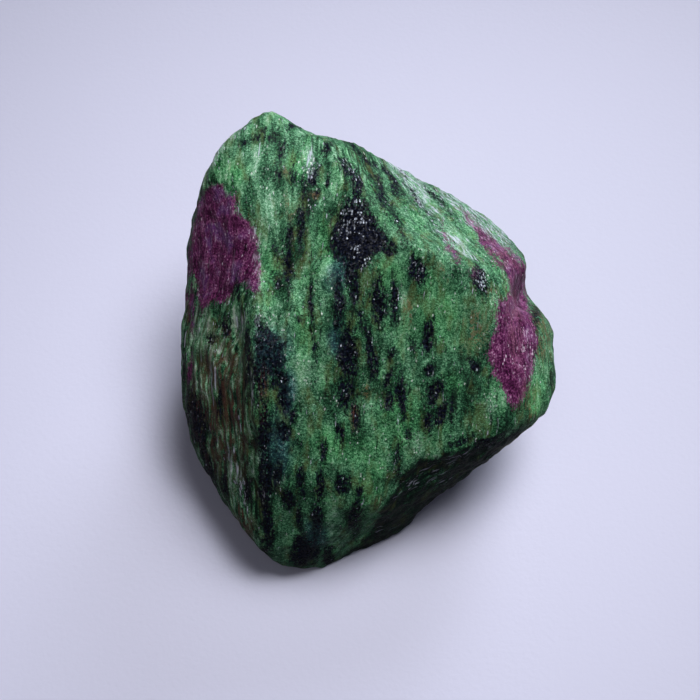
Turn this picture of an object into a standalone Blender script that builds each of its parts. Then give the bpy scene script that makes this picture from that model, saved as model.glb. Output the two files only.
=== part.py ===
"""Ruby in zoisite, rough: one natural stone, grown as a single piece.

The stone is a block broken along many nearly flat fractures. It lies on one of them, its base.
Its form is described as it faces someone who looks down at its broad front: "across" runs to the
right, "along" runs up the front and "out" points at the viewer. The stone is then stood up, so
that its base lies level at z = 0. Lengths are in millimetres until the mesh is made.
"""
import itertools
import math

import bmesh
import bpy
import numpy as np

# Driving dimensions
FRONT_TILT_DEG = 65.0     # how steeply the line that the front faces rises from the ground
BASE_DEPTH_MM = 24.2      # from the stone's heart straight down to its base
EDGE_SHARPNESS = 30.0     # higher values leave less rounding where two fractures meet
CELLS_PER_SIDE = 26       # mesh cells along one side of the starting cube
METRES_PER_MM = 0.001
MERGE_MM = 0.001
SMOOTH_ANGLE_DEG = 40.0

# Each fracture: (bearing in degrees from across towards along,
#                 lean in degrees towards the viewer, distance from the heart in mm)
FRACTURES = {
    "front": (300, 75, 20.5),
    "lower front": (265, 69, 22.5),
    "front toe": (268, 52, 27.5),
    "dome": (112, 53, 35.0),
    "brow": (141, 74, 25.0),
    "top left": (145, 21, 45.5),
    "left cheek": (177, 38, 28.0),
    "left jaw": (203, 38, 28.0),
    "upper right": (55, 35, 33.0),
    "right cheek": (5, 42, 33.5),
    "right jaw": (344, 41, 35.0),
    "undercut": (296, 26, 30.7),
    "top left rim": (135, 4, 47.6),
    "top rim": (63, 0, 36.3),
    "right shoulder": (46, 2, 42.8),
    "right hip": (34, 4, 38.9),
    "right rim": (4, 4, 40.9),
    "right heel": (330, 1, 42.5),
    "undercut rim": (311, -2, 34.5),
    "toe rim": (297, -2, 41.5),
    "bottom tip": (262, -2, 45.6),
    "lower left rim": (219, -1, 39.0),
    "left heel": (203, -2, 41.7),
    "left rim": (182, 0, 35.7),
    "upper left rim": (178, 0, 33.9),
    "left temple": (167, 1, 37.4),
    "hidden left back": (138, -34, 36.0),
    "hidden right back": (40, -38, 34.0),
    "hidden left flank": (190, -33, 32.0),
    "hidden right flank": (343, -33, 35.0),
    "hidden back": (87, -31, 42.0),
}

# Each hollow: (centre across, along, out), (reach across, along, out), depth; a swelling's is negative
HOLLOWS = {
    "top notch": ((-9.5, 45.0, 2.0), (6.0, 7.0, 14.0), 1.8),
    "top scoop": ((-7.0, 38.0, 12.0), (6.0, 8.0, 8.0), 2.0),
    "right waist": ((36.0, 11.0, 2.0), (5.0, 5.0, 12.0), 5.0),
    "left waist": ((-34.0, 14.0, 0.0), (6.0, 6.0, 12.0), 0.2),
    "right elbow": ((36.0, 18.5, 1.0), (5.0, 4.0, 8.0), -1.2),
    "undercut scoop": ((13.0, -24.0, 12.0), (7.0, 6.0, 7.0), 2.2),
    "toe knob": ((12.0, -41.0, -5.0), (7.0, 6.0, 8.0), -3.0),
    "tip knob": ((-3.0, -43.5, -3.0), (5.5, 4.0, 6.0), -1.1),
    "peak": ((-16.0, 47.0, 0.0), (5.0, 5.0, 8.0), -0.6),
    "prow": ((3.0, 27.0, 22.0), (5.0, 8.0, 6.0), -1.2),
    "left rib": ((-17.2, -4.0, 21.5), (2.2, 22.0, 7.0), -0.9),
    "left groove": ((-23.0, 2.0, 17.0), (3.5, 20.0, 7.0), 0.9),
}

# Each unevenness of the broken surface: (height in mm, size in mm, seed)
UNEVENNESS = ((0.9, 15.0, 3), (0.7, 7.0, 5))

# The mixing of a whole-number cell corner into a repeatable slope: large odd factors and bit masks
CORNER_FACTORS = (374761393, 668265263, 1440662683)
SEED_FACTOR = 974634777
STIR_FACTOR = 1274126177
LOW_32_BITS = 0xFFFFFFFF
LOW_10_BITS = 1023

# Look of the bulk stone
STONE_GREEN = (0.045, 0.105, 0.062, 1.0)
STONE_ROUGHNESS = 0.5


def clear_scene():
    """Remove every object that the file already holds."""
    for old in list(bpy.data.objects):
        bpy.data.objects.remove(old, do_unlink=True)


def face_normals():
    """Outward unit normals of the fractures, one row each, in across, along and out."""
    bearing, lean, _ = np.radians(np.array(list(FRACTURES.values()), dtype=float)).T
    flat = np.cos(lean)
    return np.stack([np.cos(bearing) * flat, np.sin(bearing) * flat, np.sin(lean)], axis=1)


def soft_reach(directions):
    """Distance from the heart to the fractures along each direction, with rounded edges."""
    distances = np.array([reach for _, _, reach in FRACTURES.values()])
    share = np.maximum(directions @ face_normals().T, 0.0) / distances
    return (share ** EDGE_SHARPNESS).sum(axis=1) ** (-1.0 / EDGE_SHARPNESS)


def hollow_depth(points):
    """Depth of all the hollows at each point, negative on the swellings."""
    depth = np.zeros(len(points))
    for centre, reach, deepest in HOLLOWS.values():
        away = (points - np.array(centre)) / np.array(reach)
        depth += deepest * np.exp(-(away ** 2).sum(axis=1))
    return depth


def corner_slopes(cell, seed):
    """A repeatable slope vector, each part between -1 and 1, for each whole-number cell corner."""
    mixed = (cell @ np.array(CORNER_FACTORS) + seed * SEED_FACTOR) & LOW_32_BITS
    mixed = ((mixed ^ (mixed >> 13)) * STIR_FACTOR) & LOW_32_BITS
    mixed ^= mixed >> 16
    parts = [(mixed >> shift) & LOW_10_BITS for shift in (0, 10, 20)]
    return np.stack(parts, axis=1) / (LOW_10_BITS / 2.0) - 1.0


def lattice_noise(points, seed):
    """Smooth gradient noise of about -0.7 to 0.7 at each point, with features one unit apart."""
    cell = np.floor(points).astype(np.int64)
    inside = points - cell
    fade = inside ** 3 * (inside * (inside * 6.0 - 15.0) + 10.0)
    total = np.zeros(len(points))
    for corner in itertools.product((0, 1), repeat=3):
        step = np.array(corner)
        slope = (corner_slopes(cell + step, seed) * (inside - step)).sum(axis=1)
        total += np.where(step == 1, fade, 1.0 - fade).prod(axis=1) * slope
    return total


def stone_surface(directions):
    """Points of the broken surface, in across, along and out, along each direction."""
    reach = soft_reach(directions)
    reach -= hollow_depth(directions * reach[:, None])
    points = directions * reach[:, None]
    for height, size, seed in UNEVENNESS:
        reach = reach + height * lattice_noise(points / size, seed)
    return directions * reach[:, None]


def stand_up(points):
    """Turn across, along and out into x, y and z, with the base level."""
    tilt = math.radians(FRONT_TILT_DEG)
    across = np.array([1.0, 0.0, 0.0])
    along = np.array([0.0, math.sin(tilt), math.cos(tilt)])
    out = np.array([0.0, -math.cos(tilt), math.sin(tilt)])
    return points @ np.stack([across, along, out])


def gridded_cube():
    """A cube of unit half-width whose sides are square grids."""
    form = bmesh.new()
    bmesh.ops.create_cube(form, size=2.0)
    bmesh.ops.subdivide_edges(form, edges=form.edges[:], cuts=CELLS_PER_SIDE - 1, use_grid_fill=True)
    return form


def swell_to_stone(form):
    """Move every vertex of the cube out to the stone's surface."""
    corners = np.array([vertex.co[:] for vertex in form.verts])
    spread = np.tan(corners * math.pi / 4.0)
    directions = spread / np.linalg.norm(spread, axis=1, keepdims=True)
    for vertex, place in zip(form.verts, stand_up(stone_surface(directions))):
        vertex.co = place


def break_off_base(form):
    """Cut the stone level below its heart and close the cut with one flat face."""
    whole = form.verts[:] + form.edges[:] + form.faces[:]
    cut = bmesh.ops.bisect_plane(form, geom=whole, dist=MERGE_MM, plane_co=(0.0, 0.0, -BASE_DEPTH_MM),
                                 plane_no=(0.0, 0.0, 1.0), clear_inner=True)
    rim = [item for item in cut["geom_cut"] if isinstance(item, bmesh.types.BMEdge)]
    bmesh.ops.edgeloop_fill(form, edges=rim)


def centre_on_base(form):
    """Put the middle of the outline at x = y = 0 and the base at z = 0, in metres."""
    places = np.array([vertex.co[:] for vertex in form.verts])
    low, high = places.min(axis=0), places.max(axis=0)
    foot = ((low[0] + high[0]) / 2.0, (low[1] + high[1]) / 2.0, low[2])
    bmesh.ops.translate(form, verts=form.verts[:], vec=[-value for value in foot])
    bmesh.ops.scale(form, verts=form.verts[:], vec=[METRES_PER_MM] * 3)


def stone_material():
    """The bulk of the stone: green zoisite, with the sheen of a freshly broken face."""
    material = bpy.data.materials.new("green zoisite")
    material.use_nodes = True
    shader = material.node_tree.nodes["Principled BSDF"]
    shader.inputs["Base Color"].default_value = STONE_GREEN
    shader.inputs["Roughness"].default_value = STONE_ROUGHNESS
    shader.inputs["Metallic"].default_value = 0.0
    return material


def build_stone():
    """Make the whole stone as one closed object."""
    form = gridded_cube()
    swell_to_stone(form)
    break_off_base(form)
    centre_on_base(form)
    bmesh.ops.triangulate(form, faces=form.faces[:])
    bmesh.ops.recalc_face_normals(form, faces=form.faces[:])
    mesh = bpy.data.meshes.new("rough_stone")
    form.to_mesh(mesh)
    form.free()
    mesh.shade_smooth()
    mesh.set_sharp_from_angle(angle=math.radians(SMOOTH_ANGLE_DEG))
    mesh.materials.append(stone_material())
    stone = bpy.data.objects.new("rough_stone", mesh)
    bpy.context.scene.collection.objects.link(stone)
    return stone


clear_scene()
build_stone()
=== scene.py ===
"""Looks of a rough stone of ruby in zoisite that lies on one of its fractures.

The whole stone is one skin: a ball of directions from the stone's heart, pushed out to the meeting of
its fractures. Minerals are laid into the skin as fields, stored on its vertices, and one rock material
turns the fields into green zoisite, purple ruby, black hornblende and their mixtures. Some fields also
paint glints, sheen and shade into the rock's colour.

Form and minerals are described as they face someone who looks down at the broad front: "across" runs
to the right, "along" up the front and "out" at the viewer. All lengths are in millimetres until the
mesh is made, which is in metres.
"""
import itertools
import logging
import math
from dataclasses import dataclass, field
from enum import Enum

import bmesh
import bpy
import numpy as np
from mathutils import Matrix, Vector


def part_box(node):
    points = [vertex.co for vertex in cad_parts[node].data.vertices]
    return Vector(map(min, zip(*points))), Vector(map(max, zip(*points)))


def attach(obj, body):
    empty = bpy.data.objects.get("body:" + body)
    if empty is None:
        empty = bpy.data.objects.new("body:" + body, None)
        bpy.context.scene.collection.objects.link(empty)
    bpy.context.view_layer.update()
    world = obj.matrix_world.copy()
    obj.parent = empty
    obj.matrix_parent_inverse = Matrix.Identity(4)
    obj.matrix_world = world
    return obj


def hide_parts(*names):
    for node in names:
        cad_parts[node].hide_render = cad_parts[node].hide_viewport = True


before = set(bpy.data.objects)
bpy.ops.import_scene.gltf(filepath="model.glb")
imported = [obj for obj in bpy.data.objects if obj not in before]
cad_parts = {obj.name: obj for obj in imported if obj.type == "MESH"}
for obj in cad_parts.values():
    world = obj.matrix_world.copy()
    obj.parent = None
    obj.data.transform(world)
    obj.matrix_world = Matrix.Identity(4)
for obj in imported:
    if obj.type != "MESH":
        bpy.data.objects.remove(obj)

LOG = logging.getLogger("ruby_in_zoisite")
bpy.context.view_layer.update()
STONE_NODE = "rough_stone"

MM = 0.001
FRONT_TILT_DEG = 65.0      # how steeply the line that the front faces rises from the floor
SIGHT_MM = 330.0           # from the stone's heart to the eye that sees the front
VIEW_WIDTH_MM = 140.0      # width of the view at the stone's heart
SENSOR_MM = 36.0
CRYSTALS_PER_MM = 3.1
OUTSIDE_MM = -9.0          # the depth of a place that lies nowhere near a mineral

# The mixing of a whole-number cell corner into a repeatable slope: large odd factors and bit masks
CORNER_FACTORS = (374761393, 668265263, 1440662683)
SEED_FACTOR = 974634777
STIR_FACTOR = 1274126177
LOW_32_BITS = 0xFFFFFFFF
LOW_10_BITS = 1023

Array = np.ndarray
Socket = bpy.types.NodeSocket
Triple = tuple[float, float, float]
Colour = Triple
Outline = tuple[tuple[float, float], ...]


def layout_axes() -> Array:
    """Give the row-frame directions of across, along and out.

    Returns:
        A 3 by 3 array whose rows are the unit vectors, so that points @ axes turns them.
    """
    tilt = math.radians(FRONT_TILT_DEG)
    return np.array([
        [1.0, 0.0, 0.0],
        [0.0, math.sin(tilt), math.cos(tilt)],
        [0.0, -math.cos(tilt), math.sin(tilt)],
    ])


def corner_slopes(cell: Array, seed: int) -> Array:
    """Give a repeatable slope vector for each whole-number cell corner.

    The three whole numbers and the seed are mixed to 30 bits, and each slope takes ten of them.

    Args:
        cell: Whole-number corners, one row each.
        seed: Picks one of many patterns.

    Returns:
        Slopes between -1 and 1, one row each.
    """
    mixed = (cell @ np.array(CORNER_FACTORS) + seed * SEED_FACTOR) & LOW_32_BITS
    mixed = ((mixed ^ (mixed >> 13)) * STIR_FACTOR) & LOW_32_BITS
    mixed ^= mixed >> 16
    parts = [(mixed >> shift) & LOW_10_BITS for shift in (0, 10, 20)]
    return np.stack(parts, axis=1) / (LOW_10_BITS / 2.0) - 1.0


def lattice_noise(points: Array, seed: int) -> Array:
    """Smooth gradient noise of about -0.7 to 0.7, with features one unit apart.

    Each point blends the slopes of its cell's eight corners by 6t^5 - 15t^4 + 10t^3.

    Args:
        points: Points in units of the feature size, one row each.
        seed: Picks one of many patterns.

    Returns:
        One value for each point.
    """
    cell = np.floor(points).astype(np.int64)
    inside = points - cell
    fade = inside ** 3 * (inside * (inside * 6.0 - 15.0) + 10.0)
    total = np.zeros(len(points))
    for corner in itertools.product((0, 1), repeat=3):
        step = np.array(corner)
        slope = (corner_slopes(cell + step, seed) * (inside - step)).sum(axis=1)
        total += np.where(step == 1, fade, 1.0 - fade).prod(axis=1) * slope
    return total


def smooth_step(value: Array, low: float, high: float) -> Array:
    """Rise smoothly from 0 at low to 1 at high, by 3t^2 - 2t^3."""
    part = np.clip((value - low) / (high - low), 0.0, 1.0)
    return part * part * (3.0 - 2.0 * part)


@dataclass(frozen=True)
class Fracture:
    """One nearly flat fracture face.

    Attributes:
        bearing: Degrees from across towards along.
        lean: Degrees that its outward normal rises towards the viewer.
        reach: Distance from the heart in mm.
        slick: How fibrous and slickensided the face is, from 0 to 1.
        dark: How much darker the face is drawn, from 0 to 1: dark rock and painted shade where it faces
            away from the light.
    """

    bearing: float
    lean: float
    reach: float
    slick: float = 0.0
    dark: float = 0.0

    def normal(self) -> Triple:
        """Outward unit normal in across, along and out."""
        turn, rise = math.radians(self.bearing), math.radians(self.lean)
        return math.cos(turn) * math.cos(rise), math.sin(turn) * math.cos(rise), math.sin(rise)


@dataclass(frozen=True)
class Hollow:
    """A rounded hollow, or a swelling where its depth is negative.

    Attributes:
        centre: Across, along and out of the middle, in mm.
        size: How far it spreads across, along and out, in mm.
        depth: Depth at the middle, in mm.
    """

    centre: Triple
    size: Triple
    depth: float


@dataclass(frozen=True)
class Unevenness:
    """One scale of unevenness: its height and size in mm, and the seed of its pattern."""

    height: float
    size: float
    seed: int

    def lift(self, points: Array) -> Array:
        """Give the unevenness at each point, in mm: the height times noise of this size."""
        return self.height * lattice_noise(points / self.size, self.seed)


@dataclass
class StoneForm:
    """The stone's form: a block between fractures, with rounded edges and an uneven surface."""

    base_depth: float = 24.2
    edge_sharpness: float = 30.0
    fractures: dict[str, Fracture] = field(default_factory=lambda: {
        "front": Fracture(300, 75, 20.5),
        "lower front": Fracture(265, 69, 22.5),
        "front toe": Fracture(268, 52, 27.5),
        "dome": Fracture(112, 53, 35.0, 0.3),
        "brow": Fracture(141, 74, 25.0, 0.2),
        "top left": Fracture(145, 21, 45.5, 0.6),
        "left cheek": Fracture(177, 38, 28.0, 0.9, 0.1),
        "left jaw": Fracture(203, 38, 28.0, 1.0, 0.25),
        "upper right": Fracture(55, 35, 33.0, 0.75),
        "right cheek": Fracture(5, 42, 33.5, 0.3),
        "right jaw": Fracture(344, 41, 35.0),
        "undercut": Fracture(296, 26, 30.7, 0.8, 1.0),
        "top left rim": Fracture(135, 4, 47.6, 0.6),
        "top rim": Fracture(63, 0, 36.3, 0.6),
        "right shoulder": Fracture(46, 2, 42.8, 0.9),
        "right hip": Fracture(34, 4, 38.9, 0.3),
        "right rim": Fracture(4, 4, 40.9),
        "right heel": Fracture(330, 1, 42.5),
        "undercut rim": Fracture(311, -2, 34.5, 0.7, 1.0),
        "toe rim": Fracture(297, -2, 41.5, 0.6, 1.0),
        "bottom tip": Fracture(262, -2, 45.6, 0.2),
        "lower left rim": Fracture(219, -1, 39.0, 0.8, 0.4),
        "left heel": Fracture(203, -2, 41.7, 0.8, 0.7),
        "left rim": Fracture(182, 0, 35.7, 0.8, 0.3),
        "upper left rim": Fracture(178, 0, 33.9, 0.8),
        "left temple": Fracture(167, 1, 37.4, 0.7),
        "hidden left back": Fracture(138, -34, 36.0, 0.5),
        "hidden right back": Fracture(40, -38, 34.0, 0.1),
        "hidden left flank": Fracture(190, -33, 32.0, 0.6),
        "hidden right flank": Fracture(343, -33, 35.0, 0.2),
        "hidden back": Fracture(87, -31, 42.0, 0.4),
    })
    hollows: dict[str, Hollow] = field(default_factory=lambda: {
        "top notch": Hollow((-9.5, 45.0, 2.0), (6.0, 7.0, 14.0), 1.8),
        "top scoop": Hollow((-7.0, 38.0, 12.0), (6.0, 8.0, 8.0), 2.0),
        "right waist": Hollow((36.0, 11.0, 2.0), (5.0, 5.0, 12.0), 5.0),
        "left waist": Hollow((-34.0, 14.0, 0.0), (6.0, 6.0, 12.0), 0.2),
        "right elbow": Hollow((36.0, 18.5, 1.0), (5.0, 4.0, 8.0), -1.2),
        "undercut scoop": Hollow((13.0, -24.0, 12.0), (7.0, 6.0, 7.0), 2.2),
        "toe knob": Hollow((12.0, -41.0, -5.0), (7.0, 6.0, 8.0), -3.0),
        "tip knob": Hollow((-3.0, -43.5, -3.0), (5.5, 4.0, 6.0), -1.1),
        "peak": Hollow((-16.0, 47.0, 0.0), (5.0, 5.0, 8.0), -0.6),
        "prow": Hollow((3.0, 27.0, 22.0), (5.0, 8.0, 6.0), -1.2),
        "left rib": Hollow((-17.2, -4.0, 21.5), (2.2, 22.0, 7.0), -0.9),
        "left groove": Hollow((-23.0, 2.0, 17.0), (3.5, 20.0, 7.0), 0.9),
    })
    unevenness: tuple[Unevenness, ...] = (Unevenness(0.9, 15.0, 3), Unevenness(0.7, 7.0, 5))

    def shares(self, directions: Array) -> Array:
        """Give how much each fracture bounds the stone in each direction.

        The share is the cosine to the fracture's normal over its reach, to the power of the sharpness.

        Args:
            directions: Unit vectors, one row each.

        Returns:
            One row for each direction and one column for each fracture.
        """
        normals = np.array([face.normal() for face in self.fractures.values()])
        distances = np.array([face.reach for face in self.fractures.values()])
        return (np.maximum(directions @ normals.T, 0.0) / distances) ** self.edge_sharpness

    def broken_surface(self, directions: Array) -> tuple[Array, dict[str, Array]]:
        """Find the fractured, hollowed and uneven surface.

        The reach is the sum of the shares to the power of -1/sharpness, less the hollows' bell
        curves, plus noise.

        Args:
            directions: Unit vectors, one row each.

        Returns:
            The points in mm, and how slick and dark the surface is and which way it faces at each.
        """
        shares = self.shares(directions)
        whole = shares.sum(axis=1)
        faces = self.fractures.values()
        manner = {
            "slick": shares @ np.array([face.slick for face in faces]) / whole,
            "dark": shares @ np.array([face.dark for face in faces]) / whole,
            "normal": shares @ np.array([face.normal() for face in faces]) / whole[:, None],
        }
        reach = whole ** (-1.0 / self.edge_sharpness)
        points = directions * reach[:, None]
        for hollow in self.hollows.values():
            away = (points - np.array(hollow.centre)) / np.array(hollow.size)
            reach = reach - hollow.depth * np.exp(-(away ** 2).sum(axis=1))
        points = directions * reach[:, None]
        for layer in self.unevenness:
            reach = reach + layer.lift(points)
        return directions * reach[:, None], manner


@dataclass
class RockFabric:
    """The rock's grain: flattened along one plane and drawn out along one line in it.

    Attributes:
        line: Direction of the drawn-out grains in across, along and out.
        plane_normal: Normal of the plane that the grains are flattened in.
        bend: Height in mm of the gentle folds of the grain.
        bend_size: Size in mm of the folds.
        bend_seeds: Seeds of the folds, one for each of the grain's axes.
        dome_line: The line's direction past the bend, over the dome.
        dome_start: How far along the bend begins, in mm.
        dome_edge: How far across the bend fades out, in mm.
        dome_round: How gently it bends, in mm.
        dome_turn: How far past the bend the line starts and ends its turn, in mm.
        ledge_line: Direction of the thin ledges on the undercut face.
        ledge_seeds: Seeds of the ledges' folds.
    """

    line: Triple = (0.05, 0.95, 0.30)
    plane_normal: Triple = (0.57, 0.25, -0.78)
    bend: float = 1.6
    bend_size: float = 14.0
    bend_seeds: tuple[int, ...] = (21, 22, 23)
    dome_line: Triple = (0.05, 0.82, -0.57)
    dome_start: float = 23.0
    dome_edge: float = -3.0
    dome_round: float = 4.0
    dome_turn: tuple[float, float] = (1.0, 6.0)
    ledge_line: Triple = (0.875, 0.477, 0.094)
    ledge_seeds: tuple[int, ...] = (24, 25, 26)

    def axes(self) -> Array:
        """Three unit rows: along the line, across it in the plane, and square to the plane."""
        line = np.array(self.line) / np.linalg.norm(self.line)
        side = np.cross(self.plane_normal, line)
        side /= np.linalg.norm(side)
        return np.stack([line, side, np.cross(line, side)])

    def folds(self, points: Array, seeds: tuple[int, ...]) -> Array:
        """Give how far the folds shift each point along three axes, in mm."""
        layers = [Unevenness(self.bend, self.bend_size, seed) for seed in seeds]
        return np.stack([layer.lift(points) for layer in layers], axis=1)

    def past_bend(self, points: Array) -> Array:
        """Give how far each point lies past the bend, in mm, rounded off towards 0 before it."""
        beside = np.maximum(points[:, 0] - self.dome_edge, 0.0)
        past = points[:, 1] - self.dome_start - beside
        return (np.hypot(past, self.dome_round) + past) / 2.0

    def coordinates(self, points: Array) -> Array:
        """Turn points into the grain's own axes, bent by the folds and over the dome.

        Past the bend, the two distances square to the line shift so that they stay level along the
        dome's line.

        Args:
            points: Points in mm, one row each.

        Returns:
            Distances in mm along the line, beside it and square to the plane.
        """
        axes = self.axes()
        shift = -(axes[1:] @ np.array(self.dome_line)) / self.dome_line[1]
        spots = points @ axes.T + self.folds(points, self.bend_seeds)
        spots[:, 1:] += self.past_bend(points)[:, None] * shift
        return spots

    def ledge_coordinates(self, points: Array) -> Array:
        """Turn points into distances in mm across, square to and along the ledges, with their folds."""
        along = np.array(self.ledge_line) / np.linalg.norm(self.ledge_line)
        across = np.cross(along, self.line)
        across /= np.linalg.norm(across)
        axes = np.stack([across, np.cross(along, across), along])
        return points @ axes.T + self.folds(points, self.ledge_seeds)

    def end_cut(self, points: Array, normals: Array) -> Array:
        """Give how squarely the surface cuts the line, from 0 for a face along it to 1.

        Args:
            points: Points in mm, one row each.
            normals: Outward normals, one row each.

        Returns:
            The size of the cosine between the normal and the line.
        """
        bent = smooth_step(self.past_bend(points), *self.dome_turn)[:, None]
        line = (1.0 - bent) * np.array(self.line) + bent * np.array(self.dome_line)
        line /= np.linalg.norm(line, axis=1, keepdims=True)
        return np.abs((normals * line).sum(axis=1))


@dataclass(frozen=True)
class Streak:
    """A drawn-out patch of one mineral on the front, as the viewer sees it.

    Attributes:
        across: Place of its middle, in mm.
        along: Place of its middle, in mm.
        width: Full width in mm.
        length: Full length in mm.
        lean: Degrees that its top leans to the right.
    """

    across: float
    along: float
    width: float
    length: float
    lean: float = 0.0

    def depth_inside(self, seen: Array) -> Array:
        """Give about how deep each seen point lies inside the streak's oval.

        Args:
            seen: Across and along of the seen points, one row each.

        Returns:
            Millimetres inside the edge, negative outside.
        """
        turn = math.radians(self.lean)
        offset = seen - np.array([self.across, self.along])
        beside = offset[:, 0] * math.cos(turn) - offset[:, 1] * math.sin(turn)
        ahead = offset[:, 0] * math.sin(turn) + offset[:, 1] * math.cos(turn)
        oval = np.hypot(beside / (self.width / 2.0), ahead / (self.length / 2.0))
        return (1.0 - oval) * self.width / 2.0


def streaks(*rows: tuple[float, ...]) -> tuple[Streak, ...]:
    """Make streaks from rows of across, along, width, length and, where it isn't 0, lean."""
    return tuple(Streak(*row) for row in rows)


def depth_in_outline(seen: Array, outline: Outline) -> Array:
    """Give how deep each seen point lies inside a closed outline.

    The distance is to the nearest side, and the sign is from the count of sides that a ray to the
    right crosses.

    Args:
        seen: Across and along of the seen points, one row each.
        outline: Corners of the outline in mm, in order.

    Returns:
        Millimetres inside the outline, negative outside.
    """
    nearest = np.full(len(seen), np.inf)
    inside = np.zeros(len(seen), dtype=bool)
    for start, end in zip(outline, outline[1:] + outline[:1]):
        first, side = np.array(start), np.array(end) - np.array(start)
        offset = seen - first
        part = np.clip(offset @ side / (side @ side), 0.0, 1.0)
        nearest = np.minimum(nearest, np.linalg.norm(offset - part[:, None] * side, axis=1))
        spans = (seen[:, 1] < start[1]) != (seen[:, 1] < end[1])
        if side[1] != 0.0:
            crossing = first[0] + (seen[:, 1] - first[1]) * side[0] / side[1]
            inside ^= spans & (seen[:, 0] < crossing)
    return np.where(inside, nearest, -nearest)


@dataclass(frozen=True)
class Pocket:
    """A three-dimensional lump of one mineral, drawn out along the rock's grain.

    Attributes:
        centre: Across, along and out of its middle, in mm.
        size: Half-length along the grain's line, half-width beside it and half-thickness, in mm.
    """

    centre: Triple
    size: Triple

    def depth_inside(self, points: Array, axes: Array) -> Array:
        """Give about how deep each point lies inside the lump.

        Args:
            points: Points in mm, one row each.
            axes: The grain's three axes, one row each.

        Returns:
            Millimetres inside the edge, negative outside.
        """
        offset = (points - np.array(self.centre)) @ axes.T
        oval = np.linalg.norm(offset / np.array(self.size), axis=1)
        return (1.0 - oval) * min(self.size)


class Mineral(Enum):
    """The fields that are stored on the skin, by attribute name."""

    RUBY = "ruby_depth"
    HORNBLENDE = "hornblende_depth"
    PALE = "pale_zoisite"
    # Darkened zoisite: dark rock, and painted shade on the undercut and on faces turned away from the
    # light.
    DARK = "dark_zoisite_and_painted_shade"
    VIVID = "vivid_zoisite"
    RUST = "rust_stain"
    TEAL = "teal_stain"
    SLICK = "slickenside"
    # Where painted glints gather and crystal faces tilt further.
    GLITTER = "glitter"
    # Pale fibres, with painted lavender sheen and painted highlights along them.
    FROST = "frost_fibres_and_sheen"
    SHEETS = "sheets_on_edge"
    LEDGES = "undercut_ledges"


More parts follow.
